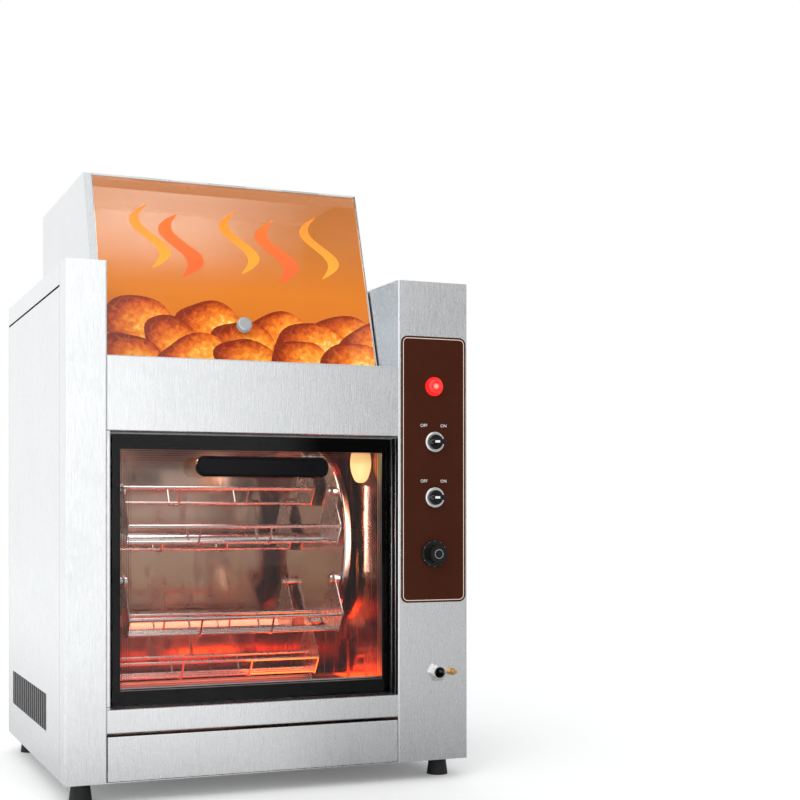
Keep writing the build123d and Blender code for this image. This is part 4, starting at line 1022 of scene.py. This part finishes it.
@dataclass(frozen=True)
class Door(Assembly):
    """Drop-down glass door with its black border, dot rows and handle."""

    border_side: float = 0.0115
    border_end: float = 0.020
    border_margin: float = 0.001
    border_rim: float = 0.001
    dot_rows: int = 5
    dot_pitch: float = 0.0031
    dot_radius: float = 0.00098
    print_depth: float = 0.0002
    jamb_edge: float = 0.001
    jamb_depth: float = 0.0004
    bead_radius: float = 0.0017
    bead_rise: float = 0.0006
    bead_shares: tuple[float, ...] = (0.36, 0.94)

    def build(self) -> None:
        """Dresses the door and adds the print on its glass."""
        self.dress(ClearGlass("door_glass", rgb(0.97, 0.98, 0.98)), "door_glass")
        black = Plastic("handle_black", rgb(0.003, 0.003, 0.004), 0.12, 0.02, dusty=0.03, shine=0.12)
        self.dress(black, "door_handle")
        self.dress(BrushedSteel("door_steel", rgb(0.2, 0.2, 0.2), 0.3), "door_frame")
        self.dress(Plastic("seal_rubber", rgb(0.015, 0.015, 0.015), 0.55, 0.4), "door_seal")
        jet = Plastic("border_ink", rgb(0.0015, 0.0015, 0.0015), 0.4, 0.02, dusty=0.0, shine=0.0)
        ink = jet.make(self.effects)
        self.add_border(ink)
        self.add_dots(ink)
        self.add_jamb()

    def glass(self) -> tuple[Vector, Vector]:
        """Returns the lowest and highest corners of the glass."""
        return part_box("door_glass")

    def add_border(self, ink: bpy.types.Material) -> None:
        """Adds the black border printed on the back of the glass."""
        low, high = self.glass()
        width, height = high.x - low.x - self.border_margin, high.z - low.z - self.border_margin
        border = Piece("door_border")
        face = border.rounded_plate(width, height, 0.0)
        bmesh.ops.inset_region(
            border.mesh, faces=[face], thickness=self.border_rim, use_even_offset=True, use_boundary=True
        )
        across = (width - 2 * self.border_side) / (width - 2 * self.border_rim)
        upward = (height - 2 * self.border_end) / (height - 2 * self.border_rim)
        bmesh.ops.scale(border.mesh, vec=(across, upward, 1.0), verts=face.verts[:])
        bmesh.ops.delete(border.mesh, geom=[face], context="FACES")
        border.thicken(self.print_depth)
        border.move(Matrix.Translation(((low.x + high.x) / 2, high.y - 0.0004, (low.z + high.z) / 2)) @ FRONT)
        border.finish(ink, Body.DOOR, "black_gloss")

    def add_dots(self, ink: bpy.types.Material) -> None:
        """Adds rows of dots that fade inwards from the border."""
        low, high = self.glass()
        centre = (low + high) / 2
        half = Vector(((high.x - low.x) / 2 - self.border_side, (high.z - low.z) / 2 - self.border_end))
        dots = Piece("door_dots")
        for row in range(self.dot_rows):
            inset = self.dot_pitch * (row + 0.7)
            radius = self.dot_radius * (1.0 - 0.09 * row)
            shift = self.dot_pitch / 2 if row % 2 else 0.0
            for along, reach, turn in ((half.x, half.y, 0.0), (half.y, half.x, math.pi / 2)):
                count = int(((along - inset) * 2 - shift) / self.dot_pitch)
                start = -along + inset + shift
                for side in (-1, 1):
                    line = Matrix.Rotation(turn, 4, "Z") @ Matrix.Translation((start, side * (reach - inset), 0.0))
                    self.draw_row(dots, line, radius, count)
        dots.move(Matrix.Translation((centre.x, high.y - 0.0005, centre.z)) @ FRONT)
        dots.finish(ink, Body.DOOR, "black_gloss")

    def add_jamb(self) -> None:
        """Adds a black strip with two bright beads on the side of the column, next to the glass; the strip is
        painted shade of the recess.
        """
        low, high = self.glass()
        side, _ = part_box("column_shell")
        height, middle = high.z - low.z, (low.z + high.z) / 2
        front, back = side.y + self.jamb_edge, low.y - self.jamb_edge
        strip = Piece("jamb_strip")
        centre = (side.x - self.jamb_depth / 2, (front + back) / 2, middle)
        strip.box((self.jamb_depth, back - front, height), centre)
        strip.soften(self.jamb_depth / 4)
        # Painted shade: the black strip stands in for the shade on the recess face.
        rubber = Plastic("jamb_shade_paint", rgb(0.004, 0.004, 0.004), 0.5, 0.2, dusty=0.1, shine=0.1)
        strip.finish(rubber.make(self.effects), Body.CABINET, "casing")
        beads = Piece("jamb_beads")
        flat = Matrix.Diagonal((self.bead_rise / self.bead_radius, 1.0, 1.0, 1.0))
        for share in self.bead_shares:
            turn = Matrix.Translation((side.x - self.jamb_depth, front + (back - front) * share, middle))
            bmesh.ops.create_cone(
                beads.mesh, cap_ends=True, segments=16, radius1=self.bead_radius, radius2=self.bead_radius,
                depth=height, matrix=turn @ flat,
            )
        chrome = Metal("bead_chrome", rgb(0.95, 0.95, 0.95), 0.2).make(self.effects)
        beads.finish(chrome, Body.CABINET, "casing", smooth=True)

    def draw_row(self, dots: Piece, line: Matrix, radius: float, count: int) -> None:
        """Draws one straight row of dots.

        Args:
            dots: the drawing that it goes into.
            line: the place of the first dot, with the row along its X.
            radius: of a dot.
            count: of further dots.
        """
        row = bmesh.new()
        first = bmesh.ops.create_circle(row, cap_ends=True, segments=7, radius=radius)["verts"]
        bmesh.ops.spin(
            row, geom=[*first, *row.edges[:], *row.faces[:]], cent=(0.0, 0.0, 0.0), axis=(0.0, 0.0, 1.0),
            dvec=(self.dot_pitch, 0.0, 0.0), angle=0.0, steps=count, use_duplicate=True,
        )
        bmesh.ops.transform(row, matrix=line, verts=row.verts[:])
        mesh = bpy.data.meshes.new("dot_row")
        row.to_mesh(mesh)
        row.free()
        dots.mesh.from_mesh(mesh)
        bpy.data.meshes.remove(mesh)


@dataclass(frozen=True)
class Display(Assembly):
    """Display case with the sloping printed glass."""

    lean: float = math.atan2(0.094, 0.277)
    glass_depth: float = 0.005
    film_depth: float = 0.00006
    film_margin: float = 0.0004

    def build(self) -> None:
        """Dresses the case and prints its glass."""
        steel = BrushedSteel("display_steel", rgb(0.8, 0.81, 0.82), 0.24, fleck=0.1)
        self.dress(steel, "display_floor", "display_left_wall", "lid_hinge")
        # The back wall and roof are a paler copy of the display steel: painted light, so that they read as brightly
        # lit behind the film.
        satin = BrushedSteel("display_back_steel", rgb(0.9, 0.88, 0.86), 0.55, fleck=0.05)
        self.dress(satin, "display_back_wall", "display_roof")
        # Painted shade: the inner faces of the right wall, those turned away from +X, are dark.
        warm = PaintedShade(rgb(0.035, 0.032, 0.03), (1.0, 0.0, 0.0), -0.5)
        shaded = BrushedSteel("display_side_steel", rgb(0.8, 0.81, 0.82), 0.24, fleck=0.1, hidden=warm)
        self.dress(shaded, "display_right_wall")
        self.dress(Metal("knob_metal", rgb(0.6, 0.61, 0.62), 0.35), "lid_knob")
        self.dress(ClearGlass("display_glass", rgb(0.98, 0.97, 0.96)), "lid_glass")
        self.add_film()
        self.add_ribbons()
        self.add_stones()

    def on_glass(self) -> tuple[Matrix, float, float]:
        """Returns the frame of the outer face from the middle of its foot, its width and its height."""
        low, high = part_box("lid_glass")
        sine, cosine = math.sin(self.lean), math.cos(self.lean)
        foot = Vector(((low.x + high.x) / 2, low.y, low.z + self.glass_depth * sine))
        crown = Vector((foot.x, high.y - self.glass_depth * cosine, high.z))
        turn = Matrix(((1, 0, 0), (0, sine, -cosine), (0, cosine, sine))).to_4x4()
        return Matrix.Translation(foot) @ turn, high.x - low.x, (crown - foot).length

    def add_film(self) -> None:
        """Adds the gradient film over the whole glass."""
        frame, width, height = self.on_glass()
        low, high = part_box("lid_glass")
        stops = (
            (0.0, rgb(0.72, 0.15, 0.002)),
            (0.4, rgb(0.78, 0.21, 0.003)),
            (0.7, rgb(0.76, 0.22, 0.006)),
            (1.0, rgb(0.7, 0.21, 0.02)),
        )
        cover = ((0.0, 0.97), (0.4, 0.93), (0.62, 0.62), (0.75, 0.52), (1.0, 0.46))
        film = PrintedFilm("film_print", stops, low.z, high.z, cover).make(self.effects)
        sheet = Piece("display_film")
        margin = 2 * self.film_margin
        sheet.box((width - margin, height - margin, self.film_depth), (0.0, height / 2, self.film_depth))
        sheet.move(frame)
        sheet.finish(film, Body.LID, "display_glass")

    def add_ribbons(self) -> None:
        """Adds curling ribbons of warm air."""
        frame, width, height = self.on_glass()
        amber = tuple((across, 0.50, 0.030) for across in (-0.31, 0.02, 0.33))
        orange = tuple((across, 0.46, 0.042) for across in (-0.20, 0.16))
        looks = (
            ("amber", rgb(1.0, 0.42, 0.025), rgb(1.0, 0.26, 0.02), amber),
            ("orange", rgb(0.93, 0.13, 0.02), rgb(0.98, 0.2, 0.02), orange),
        )
        for label, first, second, ribbons in looks:
            ink = PrintedRibbon(f"ribbon_{label}", first, second, 0.73, 0.84).make(self.effects)
            piece = Piece(f"warm_air_{label}")
            for across, foot, breadth in ribbons:
                self.draw_ribbon(piece, across * width, foot * height, height * 0.36, breadth * width)
            piece.thicken(0.00004)
            piece.move(frame @ Matrix.Translation((0.0, 0.0, 0.00012 if label == "amber" else 0.00018)))
            piece.finish(ink, Body.LID, "display_glass")

    def draw_ribbon(self, piece: Piece, across: float, foot: float, rise: float, breadth: float) -> None:
        """Extrudes one tapering S-shaped ribbon, upwards from its foot.

        Args:
            piece: the drawing that it goes into.
            across: place along the glass.
            foot: height of its lower end.
            rise: its whole height.
            breadth: its greatest width.
        """
        steps = 36
        ends = [piece.mesh.verts.new((across, foot, 0.0)), piece.mesh.verts.new((across + 0.0005, foot, 0.0))]
        edge = piece.mesh.edges.new(ends)
        for step in range(1, steps + 1):
            part = step / steps
            made = bmesh.ops.extrude_edge_only(piece.mesh, edges=[edge])["geom"]
            edge = next(item for item in made if isinstance(item, bmesh.types.BMEdge))
            swing = math.sin(part * 2 * math.pi) * rise * 0.2
            half = breadth * math.sin(math.pi * part) ** 0.7 * (1.0 - 0.35 * part) + 0.0003
            left, right = sorted(edge.verts, key=lambda vert: vert.co.x)
            left.co = (across + swing - half, foot + rise * part, 0.0)
            right.co = (across + swing + half, foot + rise * part, 0.0)

    def add_stones(self) -> None:
        """Adds a heap of glowing stones along the foot of the glass."""
        frame, width, height = self.on_glass()
        dice = random.Random(11)
        heap = Piece("hot_stones")
        layer = heap.mesh.loops.layers.uv.new("dome")
        rows = ((0.22, 4, 0.125), (0.125, 4, 0.13), (0.035, 5, 0.118))
        lift = 0
        for row, (level, count, radius) in enumerate(rows):
            for number in range(count):
                lift += 1
                share = (number + 0.5 + (0.5 if row % 2 else 0.0)) / count
                sink = 0.1 * height * max(0.0, share - 0.4) if row == 0 else 0.0
                middle = ((share - 0.5) * width, level * height - sink + dice.uniform(-0.012, 0.012) * height)
                size = (radius * width * dice.uniform(0.9, 1.2), radius * width * dice.uniform(0.55, 0.72))
                self.draw_stone(heap, layer, middle, size, dice.uniform(-0.5, 0.5), lift, dice.uniform(0, 6))
        side = width / 2 - self.film_margin
        cuts = (((side, 0, 0), (1, 0, 0)), ((-side, 0, 0), (-1, 0, 0)), ((0, self.film_margin, 0), (0, -1, 0)))
        for point, normal in cuts:
            shape = [*heap.mesh.verts, *heap.mesh.edges, *heap.mesh.faces]
            bmesh.ops.bisect_plane(heap.mesh, geom=shape, plane_co=point, plane_no=normal, clear_outer=True)
        heap.move(frame @ Matrix.Translation((0.0, 0.0, 0.00012)))
        stone = PrintedStone("stone_print").make(self.effects)
        heap.finish(stone, Body.LID, "display_glass")

    def draw_stone(
        self, heap: Piece, layer: bmesh.types.BMLayerItem, middle: tuple[float, float], size: tuple[float, float],
        turn: float, lift: int, phase: float,
    ) -> None:
        """Draws one flat stone and maps its dome.

        Args:
            heap: the drawing that it goes into.
            layer: the map that shades it.
            middle: its centre on the glass.
            size: its half width and half height.
            turn: its tilt.
            lift: its order in the heap, lower ones behind.
            phase: where the lobes of its outline start.
        """
        verts = bmesh.ops.create_circle(heap.mesh, cap_ends=True, segments=30, radius=1.0)["verts"]
        face = verts[0].link_faces[0]
        for loop in face.loops:
            loop[layer].uv = (loop.vert.co.x / 2 + 0.5, loop.vert.co.y / 2 + 0.5)
        for vert in verts:
            angle = math.atan2(vert.co.y, vert.co.x)
            vert.co *= 1.0 + 0.05 * math.sin(3 * angle + phase) + 0.03 * math.sin(5 * angle - phase)
        bmesh.ops.scale(heap.mesh, vec=(*size, 1.0), verts=verts)
        bmesh.ops.rotate(heap.mesh, matrix=Matrix.Rotation(turn, 3, "Z"), verts=verts)
        bmesh.ops.translate(heap.mesh, vec=(*middle, lift * 0.00001), verts=verts)


@dataclass(frozen=True)
class ControlPanel(Assembly):
    """Brown panel with the indicator, two selectors and the thermostat."""

    line_inset: float = 0.0026
    line_width: float = 0.0011
    corner: float = 0.010
    lens_radius: float = 0.0118
    word_size: float = 0.0062
    word_spread: float = 0.0155
    word_rise: float = 0.0235
    pointer: tuple[float, float, float] = (0.0075, PRINT_THICK, 0.0032)
    pointer_shift: tuple[float, float, float] = (-0.0035, -0.00003, 0.0)
    tick_count: int = 11
    tick_start: float = -60.0
    tick_turn: float = 30.0
    tick_widths: tuple[float, float] = (0.0009, 0.0006)
    tick_length: float = 0.0022
    tick_inset: float = 0.002
    skirt_radius: float = 0.0185
    ring_size: float = 0.0135
    ring_corner: float = 0.0067
    ring_width: float = 0.0009

    def build(self) -> None:
        """Dresses the panel and adds its lines and marks."""
        brown = Plastic("panel_brown", rgb(0.054, 0.0125, 0.0055), 0.3, 0.03, dusty=0.05, shine=0.08)
        self.dress(brown, "control_fascia")
        centre = tuple(front_middle("indicator_lamp"))
        lens = LitLens("indicator_lens", rgb(0.85, 0.012, 0.01), rgb(1.0, 0.62, 0.5), centre, self.lens_radius)
        self.dress(lens, "indicator_lamp")
        self.dress(Metal("bezel_chrome", rgb(0.9, 0.9, 0.9), 0.2), "selector_switches")
        self.dress(Metal("thermostat_metal", rgb(0.7, 0.7, 0.71), 0.3), "thermostat")
        black = Plastic("knob_black", rgb(0.006, 0.006, 0.007), 0.22, 0.03, dusty=0.1, shine=0.35)
        self.dress(black, "light_switch_knob", "motor_switch_knob", "thermostat_knob")
        white = Plastic("mark_white", rgb(0.85, 0.85, 0.84), 0.4, dusty=0.0).make(self.effects)
        self.add_line()
        self.add_words(white)
        self.add_pointers(white)
        self.add_ticks(white)
        self.add_ring()

    def add_line(self) -> None:
        """Adds the cream line that runs round the panel."""
        low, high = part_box("control_fascia")
        line = Piece("panel_line")
        cut = 2 * self.line_inset
        line.line_frame(high.x - low.x - cut, high.z - low.z - cut, self.corner - self.line_inset, self.line_width)
        line.thicken(PRINT_THICK)
        line.move(Matrix.Translation(front_middle("control_fascia") + PROUD) @ FRONT)
        cream = Plastic("panel_cream", rgb(0.78, 0.66, 0.55), 0.35, dusty=0.0).make(self.effects)
        line.finish(cream, Body.CABINET, "fascia")

    def add_words(self, white: bpy.types.Material) -> None:
        """Adds OFF and ON above each selector."""
        words = Piece("switch_words")
        face = front_middle("control_fascia") + PROUD
        for knob in ("light_switch_knob", "motor_switch_knob"):
            centre = front_middle(knob)
            for text, side in (("OFF", -1), ("ON", 1)):
                place = (centre.x + side * self.word_spread, face.y, centre.z + self.word_rise)
                words.add_text(text, self.word_size, Matrix.Translation(place) @ FRONT)
        words.finish(white, Body.CABINET, "fascia")

    def add_pointers(self, white: bpy.types.Material) -> None:
        """Adds the white bar on each selector's grip."""
        for knob, body in (("light_switch_knob", Body.LIGHT_KNOB), ("motor_switch_knob", Body.MOTOR_KNOB)):
            mark = Piece(f"{body.value}_mark")
            mark.box(self.pointer, front_middle(knob) + Vector(self.pointer_shift))
            mark.finish(white, body, "black_gloss")

    def add_ticks(self, white: bpy.types.Material) -> None:
        """Adds the ticks of the thermostat dial."""
        low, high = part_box("thermostat_knob")
        centre = front_middle("thermostat_knob")
        marks = Piece("dial_marks")
        reach = (high.x - low.x) / 2 - self.tick_inset
        hub = Matrix.Translation((centre.x, self.skirt_face(centre), centre.z))
        for step in range(self.tick_count):
            spoke = Matrix.Rotation(math.radians(self.tick_start + step * self.tick_turn), 4, "Y")
            tick = marks.box((self.tick_widths[step % 2], PRINT_THICK, self.tick_length), (0.0, 0.0, reach))
            bmesh.ops.transform(marks.mesh, matrix=hub @ spoke, verts=tick)
        marks.finish(white, Body.HEAT_KNOB, "black_gloss")

    def add_ring(self) -> None:
        """Adds the ring on the dial's grip."""
        ring = Piece("dial_ring")
        ring.line_frame(self.ring_size, self.ring_size, self.ring_corner, self.ring_width)
        ring.thicken(PRINT_THICK)
        ring.move(Matrix.Translation(front_middle("thermostat_knob") + PROUD) @ FRONT)
        grey = Plastic("mark_grey", rgb(0.3, 0.31, 0.33), 0.3, dusty=0.0).make(self.effects)
        ring.finish(grey, Body.HEAT_KNOB, "black_gloss")

    def skirt_face(self, centre: Vector) -> float:
        """Returns the Y of the front of the dial's skirt.

        Args:
            centre: the middle of the dial.

        Returns:
            The place on Y.
        """
        points = (vert.co for vert in self.frame["nodes"]["thermostat_knob"].data.vertices)
        return min(point.y for point in points if (point.xz - centre.xz).length > self.skirt_radius)


@dataclass(frozen=True)
class Supply(Assembly):
    """Cable gland, earthing stud and terminal block."""

    def build(self) -> None:
        """Dresses the supply parts."""
        self.dress(Metal("gland_plating", rgb(0.82, 0.82, 0.83), 0.22), "cable_gland")
        self.dress(Metal("stud_brass", rgb(0.72, 0.45, 0.16), 0.3), "ground_stud")
        self.dress(Ceramic("terminal_ceramic", rgb(0.8, 0.78, 0.72)), "terminal_block")


# ---------------------------------------------------------------------- studio
@dataclass(frozen=True)
class Lamp:
    """One soft lamp."""

    name: str
    place: tuple[float, float, float]
    aim: tuple[float, float, float]
    size: tuple[float, float]
    watts: float
    tone: tuple[float, float, float]
    seen_in_gloss: bool = False

    def build(self) -> None:
        """Adds the lamp, hidden from the camera and through glass."""
        light = bpy.data.lights.new(self.name, "AREA")
        light.shape = "RECTANGLE"
        light.size, light.size_y = self.size
        light.energy = self.watts
        light.color = self.tone
        lamp = bpy.data.objects.new(self.name, light)
        lamp.location = self.place
        direction = Vector(self.aim) - Vector(self.place)
        lamp.rotation_euler = direction.to_track_quat("-Z", "Y").to_euler()
        lamp.visible_camera = False
        lamp.visible_transmission = False
        lamp.visible_glossy = self.seen_in_gloss
        bpy.context.scene.collection.objects.link(lamp)


@dataclass(frozen=True)
class Studio:
    """Camera, pale surroundings, floor and lamps."""

    sensor: float = 36.0
    lens: float = 65.25
    shift: float = 0.1375
    stand: tuple[float, float, float] = (-0.623, -2.1595, 0.389)
    bearing: float = -22.9
    floor_reach: float = 8.0
    floor_lift: float = 0.14
    screens: tuple[tuple[float, float], ...] = (  # bearings in degrees and their light
        (-180, 1.0), (-100, 1.03), (-60, 0.95), (-40, 1.2), (18.2, 1.36), (18.6, 0.12), (24, 0.12),
        (27, 0.45), (60, 0.6), (100, 0.8), (150, 0.98), (180, 1.0),
    )

    lamps: tuple[Lamp, ...] = (
        Lamp("key_lamp", (-1.7, -2.4, 2.6), (0.0, 0.0, 0.4), (1.8, 1.8), 22.0, (1.0, 0.99, 0.97)),
        Lamp("ceiling_glow", (-0.12, 0.04, 0.54), (-0.13, 0.05, 0.2), (0.17, 0.3), 0.62, (1.0, 0.93, 0.87), True),
        Lamp("corner_glow", (-0.17, 0.15, 0.5), (-0.19, 0.24, 0.52), (0.05, 0.05), 1.0, (1.0, 0.98, 0.95), True),
        Lamp("wall_glow", (0.1625, -0.112, 0.36), (0.174, -0.112, 0.36), (0.004, 0.13), 0.1, (1.0, 0.9, 0.86), True),
        Lamp("rim_glow", (0.17, -0.145, 0.36), (0.155, -0.125, 0.36), (0.012, 0.26), 0.05, (1.0, 0.92, 0.88), True),
        Lamp("lamp_glow", (0.12, -0.14, 0.44), (-0.05, 0.1, 0.25), (0.03, 0.05), 0.5, (1.0, 0.7, 0.35)),
        Lamp("heater_glow", (0.1, -0.02, 0.125), (0.1, -0.02, 0.5), (0.12, 0.12), 0.7, (1.0, 0.08, 0.008), True),
        Lamp("ember_glow", (-0.06, 0.03, 0.125), (-0.06, 0.03, 0.5), (0.26, 0.26), 0.4, (1.0, 0.06, 0.02), True),
        Lamp("display_glow", (-0.04, -0.06, 0.76), (-0.04, 0.16, 0.76), (0.3, 0.16), 0.65, (1.0, 0.98, 0.96), True),
        Lamp("rear_glow", (0.02, 0.2, 0.2), (0.02, -0.1, 0.25), (0.3, 0.02), 0.25, (1.0, 0.2, 0.06)),
    )

    def build(self) -> None:
        """Sets up everything round the object."""
        self.add_camera()
        self.add_world()
        self.add_floor()
        for lamp in self.lamps:
            lamp.build()

    def add_camera(self) -> None:
        """Adds the camera at the height of the door's handle, to the left of the front."""
        view = bpy.data.cameras.new("camera")
        view.sensor_width = self.sensor
        view.lens = self.lens
        view.shift_y = self.shift
        camera = bpy.data.objects.new("camera", view)
        camera.location = self.stand
        camera.rotation_euler = (math.pi / 2, 0.0, math.radians(self.bearing))
        bpy.context.scene.collection.objects.link(camera)
        bpy.context.scene.camera = camera

    def add_world(self) -> None:
        """Surrounds the object with pale screens and one darker opening on the right of the camera."""
        world = bpy.data.worlds.new("studio")
        world.use_nodes = True
        bpy.context.scene.world = world
        graph = Graph(world.node_tree)
        east, north, _ = graph.axes(graph.add("ShaderNodeTexCoord").outputs["Generated"])
        bearing = graph.calc("ARCTAN2", east, graph.calc("MULTIPLY", north, -1.0))
        turn = graph.span(bearing, -math.pi, math.pi)
        stops = [((at + 180) / 360, rgb(level * 0.985, level * 0.995, level)) for at, level in self.screens]
        screens = graph.ramp(turn, stops)
        rays = graph.add("ShaderNodeLightPath")
        direct = graph.calc("MAXIMUM", rays.outputs["Is Camera Ray"], rays.outputs["Is Transmission Ray"])
        background = world.node_tree.nodes["Background"]
        graph.feed(background.inputs["Color"], graph.mix(direct, screens, rgb(1.0, 1.0, 1.0)))

    def add_floor(self) -> None:
        """Adds the pale floor, with painted shade in its reflections."""
        sheet = bmesh.new()
        bmesh.ops.create_grid(sheet, x_segments=1, y_segments=1, size=self.floor_reach)
        mesh = bpy.data.meshes.new("floor")
        sheet.to_mesh(mesh)
        sheet.free()
        floor = bpy.data.objects.new("floor", mesh)
        bpy.context.scene.collection.objects.link(floor)
        bench = Bench("floor_paint")
        graph = bench.graph
        east, north, _ = graph.axes(bench.place)
        grain = graph.noise(bench.place, 6.0, 2.0)
        paint = graph.mix(grain, rgb(0.93, 0.93, 0.93), rgb(0.95, 0.95, 0.95))
        # Seen in glossy rays the floor is painted darker to the right of the front and near the object: painted
        # shade in its reflections.
        bearing = graph.calc("ARCTAN2", east, graph.calc("MULTIPLY", north, -1.0))
        side = graph.span(bearing, math.radians(9.0), math.radians(22.0), 1.0, 0.5)
        aside = graph.span(graph.calc("ABSOLUTE", bearing), math.radians(35.0), math.radians(70.0))
        beside = graph.calc("MULTIPLY", aside, graph.span(graph.calc("ABSOLUTE", east), 0.33, 0.75, 0.62, 1.0))
        near = graph.calc("MAXIMUM", graph.span(north, -0.35, -1.6, 0.55, 1.0), beside)
        reflected_shade = graph.mix(graph.calc("MULTIPLY", side, near), rgb(0.0, 0.0, 0.0), rgb(1.12, 1.12, 1.12))
        rays = graph.add("ShaderNodeLightPath")
        bench.set(
            Base_Color=graph.mix(rays.outputs["Is Glossy Ray"], paint, reflected_shade), Roughness=0.7,
            Specular_IOR_Level=0.2, Emission_Color=rgb(1.0, 1.0, 1.0),
            Emission_Strength=graph.scaled(rays.outputs["Is Camera Ray"], self.floor_lift),
        )
        mesh.materials.append(bench.material)


def main() -> None:
    """Builds the studio and every sub-assembly in order."""
    logging.basicConfig(level=logging.INFO, format="%(name)s: %(message)s")
    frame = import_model()
    bpy.context.scene.view_settings.view_transform = "Standard"
    Studio().build()
    effects = Effects()
    for kind in (Casing, Chamber, Rotor, Door, Display, ControlPanel, Supply):
        LOG.info("building %s", kind.__name__)
        kind(frame, effects).build()
    bpy.context.view_layer.update()


if __name__ == "__main__":
    main()
